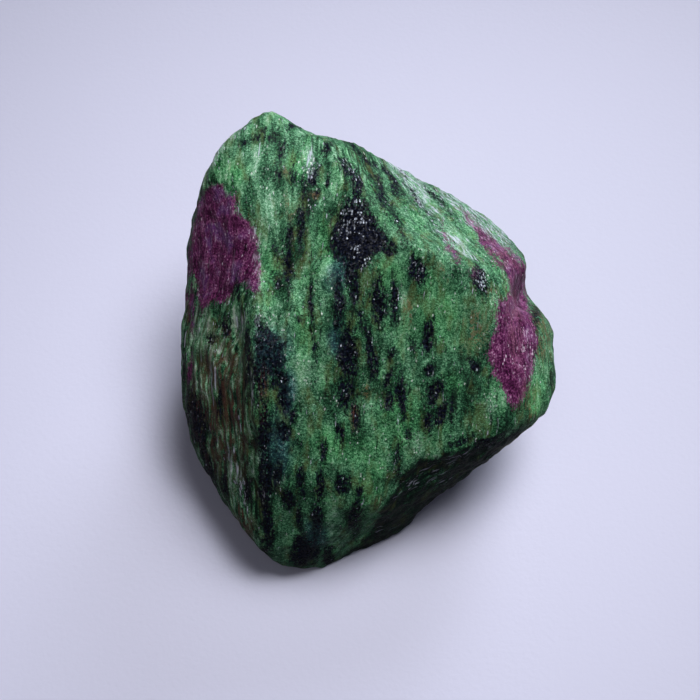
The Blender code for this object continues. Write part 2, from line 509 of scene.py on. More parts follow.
@dataclass
class MineralMap:
    """Where each mineral lies in the stone's surface, and where glints, sheen and shade are painted on it.

    Outlines and streaks lie on the front as the viewer sees it. Pockets and flecks are lumps in the
    stone that show on its hidden sides.

    Attributes:
        form: The stone's form.
        fabric: The rock's grain.
        ragged: Noise that makes the outlines ragged.
        ragged_stretch: How the noise is stretched along the grain's axes.
        ragged_shift: How much of the noise goes across and along.
        wander: Noise that makes the hidden lumps uneven.
        drift: Noise of the stains on the hidden sides, with its size along each of the grain's axes.
        drift_seed: Seed of those stains.
        stained: Values of the drift from which a hidden side is dark and rusty, up to its full stain.
        bleached: The same for the pale parts, with the drift's sign turned.
        hidden_vivid: How vivid the green of the hidden sides is.
        hidden_dark: How dark a full stain of the hidden sides is.
        sheet_rise: How squarely the surface cuts the grain from where sheets show, up to fully.
        front_depth: How far out the hidden sides end and the front begins, in mm.
        front_fade: Depth in mm that a mineral of the front loses on its way to the hidden sides.
        lit_edge: How far across the left face ends and the broad front begins, in mm.
        soft_edge: Where a stain starts and is full, in parts of its half-width inside its edge.
        undercut_edge: Depths in mm inside its outline between which the undercut begins.
        undercut_dark: How dark the undercut is drawn, for dark rock and for painted shade under its
            overhang.
        streak_dark: How dark the middle of a dark streak is.
        depth_limit: Largest depth that is stored, in mm.
        ridge_limit: Largest depth inside the black beside the ridge, which keeps it broken up.
        flecks: Number of hornblende flecks that are scattered over the whole stone.
        fleck_width: Least and greatest half-width of a fleck, in mm.
        fleck_length: Its length in widths.
        fleck_thickness: Its thickness in widths.
        fleck_wander: How much of the wander noise makes the flecks uneven.
        seed: Seed of the flecks.
    """

    form: StoneForm
    fabric: RockFabric
    ragged: tuple[Unevenness, ...] = (Unevenness(1.5, 4.5, 31), Unevenness(0.8, 1.7, 33))
    ragged_stretch: Triple = (0.35, 1.0, 1.0)
    ragged_shift: tuple[float, float] = (0.7, 1.6)
    wander: tuple[Unevenness, ...] = (Unevenness(1.2, 5.0, 41), Unevenness(0.6, 1.8, 42))
    drift: Triple = (16.0, 6.0, 6.0)
    drift_seed: int = 51
    stained: tuple[float, float] = (0.10, 0.42)
    bleached: tuple[float, float] = (0.12, 0.45)
    hidden_vivid: float = 0.6
    hidden_dark: float = 0.4
    sheet_rise: tuple[float, float] = (0.45, 0.75)
    front_depth: tuple[float, float] = (-17.0, -10.0)
    front_fade: float = 6.0
    lit_edge: tuple[float, float] = (-18.5, -15.0)
    soft_edge: tuple[float, float] = (-0.35, 0.75)
    undercut_edge: tuple[float, float] = (-0.4, 0.7)
    undercut_dark: float = 1.35
    streak_dark: float = 0.6
    depth_limit: float = 3.0
    ridge_limit: float = 0.35
    flecks: int = 210
    fleck_width: tuple[float, float] = (0.4, 1.5)
    fleck_length: tuple[float, float] = (2.0, 4.0)
    fleck_thickness: tuple[float, float] = (0.7, 1.2)
    fleck_wander: float = 0.5
    seed: int = 11

    ruby_left: Outline = (
        (-29.4, 32.8), (-25.8, 32.2), (-25, 31), (-22.8, 31.2), (-22.6, 27.4), (-19.8, 25.8), (-18.2, 23),
        (-18.1, 11.6), (-20.6, 11.6), (-21, 13.6), (-23, 12.4), (-24.8, 10), (-27.8, 10.2), (-29.8, 7.8),
        (-31, 13.6), (-32.4, 16.6), (-32, 19.6), (-31.6, 24.6),
    )
    ruby_right: Outline = (
        (22.4, 28.2), (27.4, 23.6), (33, 19.4), (35.7, 16.6), (35.2, 11.6), (37, 6), (37.5, 2.6),
        (36.6, -3.1), (35.7, -7.9), (33.6, -12.2), (30.5, -8.2), (27.8, -3), (27.6, -0.4), (29.2, 3.5),
        (29.6, 9.6), (31.8, 11.4), (31.4, 14.8), (29.6, 18), (26, 22),
    )
    black_prow: Outline = (
        (-2.4, 38.4), (-1.3, 38.6), (-0.4, 37.4), (0.7, 35.5), (1.9, 33.8), (2.7, 32.4), (1.7, 30.9),
        (2.6, 29.9), (4.4, 27.2), (6.1, 25.2), (7.9, 23), (9.5, 20.6), (9.4, 19.2), (7.9, 19.3),
        (6.1, 20.6), (4.4, 18.7), (3.5, 17), (1.8, 15.7), (0.9, 13.5), (-0.8, 14.4), (-1.7, 17.4),
        (-3.2, 18.3), (-4.5, 20.5), (-4.1, 23.1), (-3.2, 25.3), (-2.6, 27.2), (-0.9, 29.7), (0.3, 30.9),
        (0.1, 32.7), (-0.4, 34.4), (-1.6, 36.2),
    )
    black_ridge: Outline = (
        (-18.4, 4.6), (-17.6, 5.8), (-16.8, 4.2), (-15.8, 6.2), (-14.8, 4), (-13.8, 3.6), (-14.8, 1.6),
        (-12.8, 1.4), (-13.8, -1), (-12.2, -2.4), (-14.2, -4.6), (-12.4, -6.6), (-13.6, -8.4),
        (-11.6, -10.6), (-12.8, -13.6), (-14.2, -11.6), (-15.8, -13.8), (-14.8, -10), (-16.4, -8),
        (-15.4, -5.6), (-17, -4.4), (-18.6, -3.2), (-17.8, -0.6), (-19, 1),
    )
    # The undercut, drawn dark: partly dark rock, partly painted shade under its overhang.
    dark_undercut: Outline = (
        (-2, -41.5), (2, -38.8), (5.2, -33.8), (8.6, -28), (10.2, -24.2), (14, -22.4), (17.4, -20.9),
        (22, -19.9), (26.8, -18.8), (30.8, -17.2), (38, -14.2), (44, -20), (20, -46),
    )
    ruby_streaks: tuple[Streak, ...] = streaks(
        (-32.1, 9.8, 1.2, 4.4), (-31.8, 5.6, 0.8, 3), (-31.9, -3.8, 1.2, 4.8), (19.9, 20.6, 0.8, 1.6),
        (20.9, 19.2, 1.1, 2.4, -20), (25, 14.8, 0.9, 2.4, -35), (19, 23.2, 0.6, 2.4, -20),
    )
    black_streaks: tuple[Streak, ...] = streaks(
        # crest of the dome
        (-21, 41.8, 1, 2.6, 60), (-18.6, 42.6, 1, 1.6, 70), (-15.4, 42.8, 0.9, 2.2, 70),
        (-11.2, 44.8, 1, 2.6, 70), (-17.2, 44.2, 1.3, 1.7), (-4.8, 41, 1.8, 3, 30),
        # dome
        (-13.6, 39.5, 1.5, 4.6), (-14.3, 34.8, 0.9, 3.4), (-11.5, 35, 0.9, 2.8), (-7.6, 35.4, 1.6, 3.8, 25),
        (-9.4, 32, 1, 4.2), (-6.6, 32.2, 0.9, 1.6), (-4.4, 33.4, 1, 1.8, 20), (-9.8, 25.6, 1.5, 8.8),
        (-12, 24, 1.1, 2.8), (-12.4, 17.4, 1.4, 10), (-14.3, 13.8, 1, 3), (-7.5, 9.8, 0.8, 9),
        (-7.2, 0.4, 0.7, 5.6), (-9.9, 5.8, 1.2, 1.6), (-14.4, 19.6, 0.9, 2.4),
        # upper right
        (8.1, 34, 1.8, 6.2, -28), (6.2, 31.2, 1.2, 6, -22), (0.9, 40.8, 1, 4.8, -40),
        (3.6, 38, 0.8, 5, -40), (12.4, 31.6, 0.7, 5, -35), (17, 30.6, 0.8, 5, -45), (23, 31, 0.8, 5, -46),
        (9.6, 26, 0.6, 4, -25),
        # upper front
        (13.4, 16, 3, 6.2, -18), (6, 9.8, 3.4, 10.4), (8.9, 9.4, 1.7, 7.8), (25.9, 13.4, 2, 4.8, -20),
        (24.8, 16, 0.9, 1.6), (-2.4, 9, 2.2, 10), (15.8, 2.2, 2.4, 6, 8), (3.6, 0.6, 1.8, 10.6, -12),
        (4.3, -3, 2.3, 4.2),
        # middle
        (8.4, -2, 1.4, 2.2), (16.3, -4.8, 1.8, 2.6), (12.2, 1, 0.9, 2.4), (17.2, -9.2, 2.6, 6.6, 22),
        (10.4, -10, 2, 7.4), (7.4, -6.8, 2, 2.6, 20), (7.9, -10.8, 2, 4.4), (18.2, -13.4, 1.8, 4, 20),
        (15.8, -14.9, 2, 3.4, 8), (20.2, -12.4, 1.1, 3.6), (-0.4, -1, 3.8, 9), (-0.8, -8, 2.6, 6),
        (0.8, -12.6, 1.2, 6), (10.4, -13.8, 1, 2), (24.6, -2.6, 3.4, 1.6, 60), (11.7, -17, 1, 2.6),
        (21.8, -18.6, 1.4, 5, 62), (27.4, -18.4, 1.8, 5.4, 66),
        # lower front
        (-2, -15.8, 1.6, 3.4), (-5.3, -20, 1.5, 4.2), (-1.4, -26.7, 2.7, 3.6), (-10.2, -25.4, 1.5, 3.8),
        (-9.4, -28.4, 1, 2), (-6.2, -27.4, 2.3, 7.2), (-12.2, -30, 2.4, 4.2), (-10.2, -33.8, 1.3, 4.6),
        (-6.6, -33.8, 1.8, 6.6), (-9, -40, 5.4, 7), (1.2, -33.4, 1.9, 7.2, 4), (9.6, -21.6, 0.9, 5),
        (-10.6, -18.8, 0.9, 1.2), (1.8, -27.8, 1, 2.6), (-4.4, -41, 2, 3.4),
        # beside the left ridge
        (-13.4, -9.6, 2.4, 5.4), (-13.4, -16, 3.6, 3.6), (-11, -13.2, 1.9, 2.6), (-17.6, -4, 1.6, 13),
        (-18.9, -4.5, 0.9, 13), (-17.2, -17, 2.2, 13), (-16.8, -26.6, 3.4, 8), (-16.6, -35, 2.2, 12),
        (-14.4, -24.6, 1.6, 4),
        # left face and right edge
        (-28, 2.2, 1.4, 2.4), (-30.6, -14, 3.8, 12, -10), (-28.4, -23, 2, 9, -16), (-25, -27, 1.2, 6),
        (-20.6, -28, 1.4, 5), (-24.8, 4.6, 1.6, 4.4), (-20.4, -1, 1.2, 12), (-26.4, -10, 1, 7),
        (-22.4, 12, 0.8, 3), (37.4, 7.2, 1, 2.4), (40.2, -5.4, 1, 3),
        # under the prow
        (-2.8, 11.6, 1.2, 6), (0.4, 14.6, 2.8, 6.4), (0.8, 10, 1.8, 6, 8), (1.8, 6, 1.3, 5),
    )
    # The long rows that lean -50 on the upper right are pale fibres drawn with part of that face's painted
    # sheen.
    pale_streaks: tuple[Streak, ...] = streaks(
        (28.2, -10.6, 3.4, 3), (-9.2, -5, 8, 7), (12.8, -18.6, 5.5, 4.4), (-5, 17.2, 2.4, 3.4),
        (26, 29, 4, 22, -50), (12, 34, 5, 18, -50), (-33.4, 17, 2.4, 14), (-28.6, 4.6, 4.6, 10),
        (21, 23, 3, 9, -50), (-15.4, 6.8, 4.4, 3.6), (-22.6, 5, 3.6, 11), (-23.2, -24, 2, 13, -8),
        (15.6, -2.6, 2, 1.6), (-26.4, 39.5, 4, 16, 42), (-3.4, 32.6, 2.6, 5), (-4.6, -39, 2.6, 4),
        (-13.4, -17, 3, 6), (3, -10.2, 2, 1.6), (26.4, 15, 2.6, 4, -20), (-11.4, -8, 3, 6),
        (11, 10.6, 2, 5), (-18, 17, 0.9, 16), (-3, -34, 2.6, 8), (-27.6, -2, 3, 12), (-15.6, 28, 5, 9),
        (-18.6, 38, 4, 7),
    )
    vivid_streaks: tuple[Streak, ...] = streaks(
        (-10.4, 36.6, 6, 6), (-25, 35, 9, 7, 30), (17.6, 7, 13, 16), (10, -14, 14, 14), (-3, -18, 13, 10),
        (4, -27, 7, 20, 10), (-16, 15, 5, 12), (8, 16, 6, 6), (36.6, -9, 7, 11), (-9, 4, 5, 12),
        (32.6, 7, 3.6, 22, -4), (31, 18.6, 3.4, 10, -42), (-2, 4, 3, 6), (2, -20, 10, 8), (-5, 22, 4, 12),
        (20.6, -7, 5, 7),
    )
    dark_streaks: tuple[Streak, ...] = streaks(
        (-15.4, -8, 8, 30), (0, 2, 8, 30), (0.4, 24, 14, 22), (25, -7, 14, 17), (31, -14, 6, 14, 60),
        (24.6, -1.6, 8, 6), (4, 8, 12, 14), (9, -9, 8, 10), (17.4, -12, 7, 12), (-8, 30, 4.6, 9, 12),
        (14, 14, 7, 8), (3, 37, 6, 14, -35), (-11, -28, 7, 10), (-12.6, 16, 4, 14), (-4, -9, 5, 8),
        (-17.4, -9, 3.6, 16), (-19, 0, 2.6, 22),
    )
    rust_streaks: tuple[Streak, ...] = streaks(
        (11.8, 7.6, 2.6, 7), (25, 4.4, 7, 11, 10), (36, -11, 5, 9), (-7, 31, 3.4, 3), (-12, 29, 2.6, 6),
        (18.6, 15.6, 1.8, 5.4, -30), (3, -7.6, 2, 4), (39, 4, 5.4, 18), (28.4, 11.6, 3, 3),
        (-25.4, -10, 14, 36, -4), (-21.5, -34, 4.6, 14, -14), (-32.5, 7, 2.4, 7), (0.6, -13, 2, 6),
        (5.4, -29.8, 2.6, 4), (-17.2, -8.4, 1.8, 13), (5.4, 17.2, 1.6, 3.6, 30), (-13, 35, 1.4, 3),
        (37.6, 0, 2.4, 10),
    )
    teal_streaks: tuple[Streak, ...] = streaks(
        (-2.4, 15.6, 6, 8), (-2.8, 2.6, 4, 8), (-12.4, -9, 4, 9), (-15.6, 0, 8, 12), (-14.6, -20, 6, 14),
        (-7, -37, 6, 7),
    )
    # Where painted glints gather, and where crystal faces tilt further.
    glitter_streaks: tuple[Streak, ...] = streaks(
        (-8.5, 38, 4.5, 9), (35.2, -1.6, 3.4, 10, -8), (28, -10.4, 4.6, 4.4), (34.6, 2.4, 1.6, 7),
        (0.6, 26.2, 6.6, 9), (0.4, 35.4, 2.6, 7, -30), (26.2, 13.4, 3, 4.6), (-15.4, 7, 4, 3.4),
        (11.6, 0, 1.6, 1.6), (12.6, -18.6, 5, 4), (3, -10.2, 1.8, 1.4), (0.6, 21, 3, 5), (3.4, 18, 2.4, 3),
        (10, 11, 3, 5), (13.6, 16.4, 3, 5),
    )
    # Pale fibres with painted lavender sheen and highlights, on the upper right, the left face and the
    # undercut's ledges.
    frost_and_sheen_streaks: tuple[Streak, ...] = streaks(
        (25.4, 26.4, 5.4, 28, -50), (12, 34.5, 5, 20, -45), (22.4, 19.8, 1.8, 8, -68),
        (20.4, 22.4, 3, 12, -54), (14, 30, 3, 16, -44), (33.6, 12, 1.6, 10), (-22.6, -24, 2.6, 16, -16),
        (-22.2, 5, 2.2, 6.4), (-18.6, 18, 2, 20), (-32.6, 22, 2, 16), (-26.4, 40, 3.4, 18, 42),
        (-18.4, 5, 1.8, 7), (-8, 38, 3, 8), (13.5, -26, 3.2, 13, 56), (17.6, -25.4, 2, 8, 72),
        (21, -21.8, 1.8, 9, 70), (28.4, -19.6, 1.6, 8, 62), (-17.2, -28, 1, 14), (6, -36, 1.6, 10, 42),
        (20, -27, 1.4, 8, 60), (-27.6, -6, 1.2, 9), (-19.4, -6, 0.9, 9),
    )
    ruby_pockets: tuple[Pocket, ...] = (
        Pocket((36.0, -4.0, -14.0), (10.0, 5.0, 8.0)), Pocket((30.0, 22.0, -10.0), (9.0, 5.0, 5.0)),
        Pocket((-30.0, 20.0, -10.0), (12.0, 6.0, 7.0)), Pocket((-8.0, 40.0, -24.0), (11.0, 7.0, 5.0)),
        Pocket((-33.0, -16.0, -22.0), (9.0, 5.0, 4.0)), Pocket((6.0, -34.0, -26.0), (7.0, 8.0, 6.0)),
    )

    def seen_places(self, points: Array) -> Array:
        """Follow each point's sight line to the plane through the heart.

        The eye is SIGHT_MM out from the heart, so a place is the point's across and along times
        SIGHT_MM over its distance from the eye.

        Args:
            points: Points in mm, one row each.

        Returns:
            Across and along of each point as seen, in mm.
        """
        return points[:, :2] * (SIGHT_MM / (SIGHT_MM - points[:, 2]))[:, None]

    def ragged_places(self, points: Array) -> Array:
        """Shift the seen places by noise, so that outlines follow the grain raggedly."""
        fabric = self.fabric.coordinates(points) * np.array(self.ragged_stretch)
        places = self.seen_places(points)
        for layer in self.ragged:
            shift = [lattice_noise(fabric / layer.size, layer.seed + turn) for turn in (0, 1)]
            places = places + layer.height * np.stack(shift, axis=1) * np.array(self.ragged_shift)
        return places

    def inside_outlines(self, places: Array, *outlines: Outline) -> Array:
        """Give how deep each place lies inside the nearest of some outlines, in mm."""
        return np.max([depth_in_outline(places, outline) for outline in outlines], axis=0)

    def inside_streaks(self, places: Array, rows: tuple[Streak, ...]) -> Array:
        """Give how deep each place lies inside the nearest of some streaks, in mm."""
        return np.max([streak.depth_inside(places) for streak in rows], axis=0)

    def spread(self, places: Array, rows: tuple[Streak, ...]) -> Array:
        """Give a soft 0 to 1 stain that is 1 at the middle of each streak and 0 past its edge."""
        stain = np.zeros(len(places))
        for streak in rows:
            part = streak.depth_inside(places) / (streak.width / 2.0)
            stain = np.maximum(stain, smooth_step(part, *self.soft_edge))
        return stain

    def fleck_depth(self, points: Array) -> Array:
        """Scatter seeded hornblende flecks over the sides that the front view doesn't show.

        Args:
            points: Points in mm, one row each.

        Returns:
            Millimetres inside the nearest fleck, negative outside.
        """
        random = np.random.default_rng(self.seed)
        towards = random.normal(size=(self.flecks, 3))
        towards /= np.linalg.norm(towards, axis=1, keepdims=True)
        centres, _ = self.form.broken_surface(towards)
        axes = self.fabric.axes()
        depth = np.full(len(points), OUTSIDE_MM)
        for centre in centres[centres[:, 2] < self.front_depth[1]]:
            width = random.uniform(*self.fleck_width)
            length = width * random.uniform(*self.fleck_length)
            fleck = Pocket(tuple(centre), (length, width, width * random.uniform(*self.fleck_thickness)))
            depth = np.maximum(depth, fleck.depth_inside(points, axes))
        return depth

    def all_round(self, seen: Array, hidden: Array, front: Array) -> Array:
        """Join a mineral's depth on the front to its depth on the hidden sides.

        Args:
            seen: Depth in mm on the front.
            hidden: Depth in mm on the hidden sides.
            front: 1 on the front and 0 on the hidden sides.

        Returns:
            The depth in mm, kept within the limit.
        """
        faded = np.maximum(seen - self.front_fade * (1.0 - front), hidden)
        return np.clip(np.where(front > 0.0, faded, hidden), -self.depth_limit, self.depth_limit)

    def ruby_depth(self, points: Array, places: Array, front: Array) -> Array:
        """Give how deep each point lies in ruby, in mm: outlines, streaks and hidden pockets."""
        seen = self.inside_outlines(places, self.ruby_left, self.ruby_right)
        seen = np.maximum(seen, self.inside_streaks(places, self.ruby_streaks))
        axes = self.fabric.axes()
        hidden = np.max([pocket.depth_inside(points, axes) for pocket in self.ruby_pockets], axis=0)
        hidden = hidden + sum(layer.lift(points) for layer in self.wander)
        return self.all_round(seen, np.where(front > 0.5, OUTSIDE_MM, hidden), front)

    def hornblende_depth(self, points: Array, places: Array, front: Array) -> Array:
        """Give how deep each point lies in hornblende, in mm: outlines, streaks and hidden flecks."""
        ridge = np.minimum(self.inside_outlines(places, self.black_ridge), self.ridge_limit)
        seen = np.maximum(self.inside_outlines(places, self.black_prow), ridge)
        seen = np.maximum(seen, self.inside_streaks(places, self.black_streaks))
        wander = sum(layer.lift(points) for layer in self.wander)
        return self.all_round(seen, self.fleck_depth(points) + self.fleck_wander * wander, front)

    def fields(self, points: Array, manner: dict[str, Array]) -> dict[Mineral, Array]:
        """Work out every mineral's field.

        Args:
            points: Surface points in mm, one row each.
            manner: How slick and dark the surface is and which way it faces at each point.

        Returns:
            One array of values for each mineral.
        """
        places = self.ragged_places(points)
        front = smooth_step(points[:, 2], *self.front_depth)
        hidden = 1.0 - front
        undercut = smooth_step(self.inside_outlines(places, self.dark_undercut), *self.undercut_edge)
        drift = lattice_noise(self.fabric.coordinates(points) / np.array(self.drift), self.drift_seed)
        stained = smooth_step(drift, *self.stained) * hidden
        pale, vivid, dark, rust, teal, glitter, frost_and_sheen = (self.spread(places, rows) for rows in (
            self.pale_streaks, self.vivid_streaks, self.dark_streaks, self.rust_streaks,
            self.teal_streaks, self.glitter_streaks, self.frost_and_sheen_streaks,
        ))
        # Painted shade: the undercut, and faces turned away from the light outside the lit front, are
        # darkened along with the dark rock.
        dark = np.maximum(self.streak_dark * dark, self.undercut_dark * undercut) * front
        lit = front * (1.0 - undercut) * smooth_step(places[:, 0], *self.lit_edge)
        end_cut = self.fabric.end_cut(points, manner["normal"])
        return {
            Mineral.RUBY: self.ruby_depth(points, places, front),
            Mineral.HORNBLENDE: self.hornblende_depth(points, places, front),
            Mineral.PALE: pale * front + smooth_step(-drift, *self.bleached) * hidden,
            Mineral.VIVID: vivid * front + self.hidden_vivid * hidden,
            Mineral.DARK: np.maximum(dark, manner["dark"] * (1.0 - lit)) + self.hidden_dark * stained,
            Mineral.RUST: rust * front + stained,
            Mineral.TEAL: teal * front,
            Mineral.SLICK: manner["slick"],
            Mineral.GLITTER: glitter * front,
            Mineral.FROST: frost_and_sheen * front,
            Mineral.SHEETS: smooth_step(end_cut, *self.sheet_rise),
            Mineral.LEDGES: undercut * front,
        }


@dataclass(frozen=True)
class Grain:
    """A noise in the rock, from 0 to 1.

    Attributes:
        per_mm: Features for each mm.
        layers: Number of finer layers.
        rough: How strong the finer layers are.
        stretch: How the place is stretched before the noise is read.
    """

    per_mm: float
    layers: float = 3.0
    rough: float = 0.55
    stretch: Triple | None = None


class Tray:
    """Places nodes in one node tree and joins them."""

    def __init__(self, tree: bpy.types.NodeTree) -> None:
        """Start with the given tree."""
        self.tree = tree

    def put(self, socket: Socket, value: object) -> None:
        """Join a socket to another one, or set its plain value."""
        if isinstance(value, bpy.types.NodeSocket):
            self.tree.links.new(value, socket)
        elif isinstance(value, tuple) and socket.type == "RGBA":
            socket.default_value = (*value, 1.0)
        else:
            socket.default_value = value

    def node(
        self, kind: str, settings: dict[str, object], *inputs: object, **named: object
    ) -> bpy.types.Node:
        """Add a node.

        Args:
            kind: Blender's name for the node type.
            settings: Values of the node's own properties.
            inputs: A socket or plain value for each input in order.
            named: A socket or plain value for each input of that name.

        Returns:
            The new node.
        """
        made = self.tree.nodes.new(kind)
        for name, value in settings.items():
            setattr(made, name, value)
        for socket, value in zip(made.inputs, inputs):
            self.put(socket, value)
        for name, value in named.items():
            self.put(made.inputs[name], value)
        return made

    def math(self, operation: str, *inputs: object) -> Socket:
        """Add a Math node and give its result."""
        return self.node("ShaderNodeMath", {"operation": operation}, *inputs).outputs[0]

    def vector(self, operation: str, *inputs: object, **named: object) -> Socket:
        """Add a Vector Math node and give its vector."""
        return self.node("ShaderNodeVectorMath", {"operation": operation}, *inputs, **named).outputs[0]

    def times(self, first: object, second: object) -> Socket:
        """Multiply two values."""
        return self.math("MULTIPLY", first, second)

    def add_up(self, start: object, *parts: tuple[object, object]) -> Socket:
        """Add to a start each part, which is a value and the amount it is multiplied by."""
        for value, amount in parts:
            start = self.math("MULTIPLY_ADD", value, amount, start)
        return start

    def between(self, amount: object, first: object, second: object) -> Socket:
        """Mix two plain values: first + amount (second - first)."""
        return self.math("MULTIPLY_ADD", amount, self.math("SUBTRACT", second, first), first)

    def rise(self, value: object, low: object, high: object, top: object = 1.0) -> Socket:
        """Rise smoothly from 0 at low to top at high."""
        settings = {"interpolation_type": "SMOOTHSTEP"}
        return self.node("ShaderNodeMapRange", settings, value, low, high, 0.0, top).outputs["Result"]

    def attribute(self, name: str, output: str = "Fac") -> Socket:
        """Read an attribute of the mesh."""
        return self.node("ShaderNodeAttribute", {"attribute_name": name}).outputs[output]

    def noise(self, place: object, grain: Grain) -> Socket:
        """Add a noise texture and give its 0 to 1 value."""
        if grain.stretch is not None:
            place = self.vector("MULTIPLY", place, grain.stretch)
        settings = {"noise_dimensions": "3D"}
        return self.node("ShaderNodeTexNoise", settings, Vector=place, Scale=grain.per_mm,
                         Detail=grain.layers, Roughness=grain.rough).outputs["Fac"]

    def cells(self, place: object, per_mm: object) -> bpy.types.Node:
        """Add a Voronoi texture of crystal grains."""
        return self.node("ShaderNodeTexVoronoi", {"feature": "F1"}, Vector=place, Scale=per_mm)

    def blend(self, amount: object, first: object, second: object, mode: str = "MIX") -> Socket:
        """Mix two colours and give the result."""
        made = self.node("ShaderNodeMix", {"data_type": "RGBA", "blend_type": mode}, amount)
        ends = [socket for socket in made.inputs if socket.type == "RGBA"]
        self.put(ends[0], first)
        self.put(ends[1], second)
        return next(socket for socket in made.outputs if socket.type == "RGBA")

    def ramp(self, value: object, places: tuple[float, ...], colours: tuple[Colour, ...]) -> Socket:
        """Turn a value into a colour by stops at the given places."""
        made = self.node("ShaderNodeValToRGB", {}, value)
        elements = made.color_ramp.elements
        for place in places[len(elements):]:
            elements.new(place)
        for element, place, colour in zip(elements, places, colours):
            element.position = place
            element.color = (*colour, 1.0)
        return made.outputs["Color"]


FINISH = ("Colour", "Roughness", "Height")
SOCKET_KINDS = {
    "Fabric": "NodeSocketVector", "Ledge Fabric": "NodeSocketVector", "Place": "NodeSocketVector",
    "Normal": "NodeSocketVector", "Colour": "NodeSocketColor",
}


def new_group(name: str, inputs: tuple[str, ...], outputs: tuple[str, ...]) -> tuple[Tray, object, object]:
    """Start a shader node group, whose sockets are plain values unless SOCKET_KINDS says otherwise.

    Args:
        name: The group's name.
        inputs: Names of the inputs.
        outputs: Names of the outputs.

    Returns:
        The group's tray, its input sockets by name and its output node's sockets by name.
    """
    tree = bpy.data.node_groups.new(name, "ShaderNodeTree")
    for side, names in (("INPUT", inputs), ("OUTPUT", outputs)):
        for socket in names:
            kind = SOCKET_KINDS.get(socket, "NodeSocketFloat")
            tree.interface.new_socket(socket, in_out=side, socket_type=kind)
    tray = Tray(tree)
    return tray, tray.node("NodeGroupInput", {}).outputs, tray.node("NodeGroupOutput", {}).inputs


@dataclass(frozen=True)
class PaintedGlints:
    """Painted glints: specks of light laid into the colour, each by its own strength and with a ragged
    outline.

    Attributes:
        per_mm: Crystals for each mm.
        skew: How many of them shine only faintly: 1 for an even spread of strengths, more for fewer
            strong ones.
        shape: How the crystals are stretched along the grain's axes.
        faintest: Strength of the faintest one.
        outline: Noise of their ragged outlines.
        outline_share: How ragged they are.
        rim: Distance from the middle, with the noise, at which a crystal ends and is full.
    """

    per_mm: float
    skew: float
    shape: Triple = (0.6, 1.0, 1.2)
    faintest: float = 0.15
    outline: Grain = Grain(7.0, 1.0)
    outline_share: float = 0.7
    rim: tuple[float, float] = (0.90, 0.70)

    def mask(self, tray: Tray, fabric: object, amount: object) -> Socket:
        """Make the mask of painted glints.

        Args:
            tray: Where the nodes go.
            fabric: Distances along the grain's axes in mm.
            amount: Share of the crystals that shine.

        Returns:
            The mask's socket.
        """
        crystal = tray.cells(tray.vector("MULTIPLY", fabric, self.shape), self.per_mm)
        pick, power, _ = tray.node("ShaderNodeSeparateColor", {}, crystal.outputs["Color"]).outputs
        bar = tray.math("SUBTRACT", 1.0, amount)
        strength = tray.add_up(self.faintest, (tray.math("POWER", power, self.skew), 1.0 - self.faintest))
        lit = tray.rise(pick, bar, tray.math("ADD", bar, 0.01), strength)
        outline = tray.noise(fabric, self.outline)
        ragged = tray.add_up(crystal.outputs["Distance"], (outline, self.outline_share))
        return tray.times(lit, tray.rise(ragged, *self.rim))


@dataclass(frozen=True)
class DrawnGrain:
    """Noise drawn out along the grain, along the edges of cut sheets, or along the undercut's ledges.

    Attributes:
        per_mm: Features for each mm across the grain.
        length: How many times longer than wide a feature is.
        layers: Number of finer layers.
    """

    per_mm: float
    length: float
    layers: float

    def noise(self, tray: Tray, given: object) -> Socket:
        """Make the noise from a group's inputs Fabric, Ledge Fabric, Sheets and Ledges."""
        along, sheet, ledge = (
            tray.noise(given[name], Grain(self.per_mm, self.layers, 0.6, stretch)) for name, stretch in (
                ("Fabric", (1.0 / self.length, 0.8, 1.0)),
                ("Fabric", (0.5, 0.8 / self.length, 1.0)),
                ("Ledge Fabric", (1.0, 0.7, 1.0 / self.length)),
            )
        )
        return tray.between(given["Ledges"], tray.between(given["Sheets"], along, sheet), ledge)


@dataclass(frozen=True)
class FibreLines:
    """Thin pale lines along the grain, where the rock is fibrous or scratched, partly painted highlights
    and sheen.

    Attributes:
        grain: Noise whose highest parts are the lines.
        bar: Value of the noise above which a line begins.
        edge: Rise of the noise from a line's edge to its middle.
        painted_sheen: How strong the painted lavender sheen beside the lines is, where the rock is frosted.
        painted_sheen_reach: How far below the bar the painted sheen begins.
        crisp: Slickness from which the haze fades, up to where it is faintest, and by how much.
        ledge_fade: How much fainter the lines are on the ledges.
    """

    grain: DrawnGrain = DrawnGrain(2.3, 16.0, 2.0)
    bar: float = 0.68
    edge: float = 0.07
    painted_sheen: float = 0.30
    painted_sheen_reach: float = 0.14
    crisp: Triple = (0.80, 1.0, 0.75)
    ledge_fade: float = 0.40

    def group(self) -> bpy.types.NodeTree:
        """Build a node group that gives a mask of thin lines, and of the painted sheen beside them, more as
        Slick and Frost rise.
        """
        inputs = ("Fabric", "Ledge Fabric", "Slick", "Frost", "Sheets", "Ledges")
        tray, given, taken = new_group("fibre_lines", inputs, ("Mask",))
        kinds = (("Frost", 0.13), ("Slick", 0.03), ("Ledges", -0.03))
        wave = self.grain.noise(tray, given)
        wave = tray.add_up(wave, *((given[name], amount) for name, amount in kinds))
        crisp = tray.math("MAXIMUM", given["Ledges"], tray.rise(given["Slick"], *self.crisp))
        wide = tray.times(given["Frost"], tray.math("SUBTRACT", 1.0, crisp))
        painted_sheen = tray.times(wide, tray.rise(wave, self.bar - self.painted_sheen_reach, self.bar, self.painted_sheen))
        top = tray.add_up(1.0, (given["Ledges"], -self.ledge_fade))
        thin = tray.rise(wave, self.bar, self.bar + self.edge, top)
        tray.put(taken["Mask"], tray.math("MAXIMUM", thin, painted_sheen))
        return tray.tree


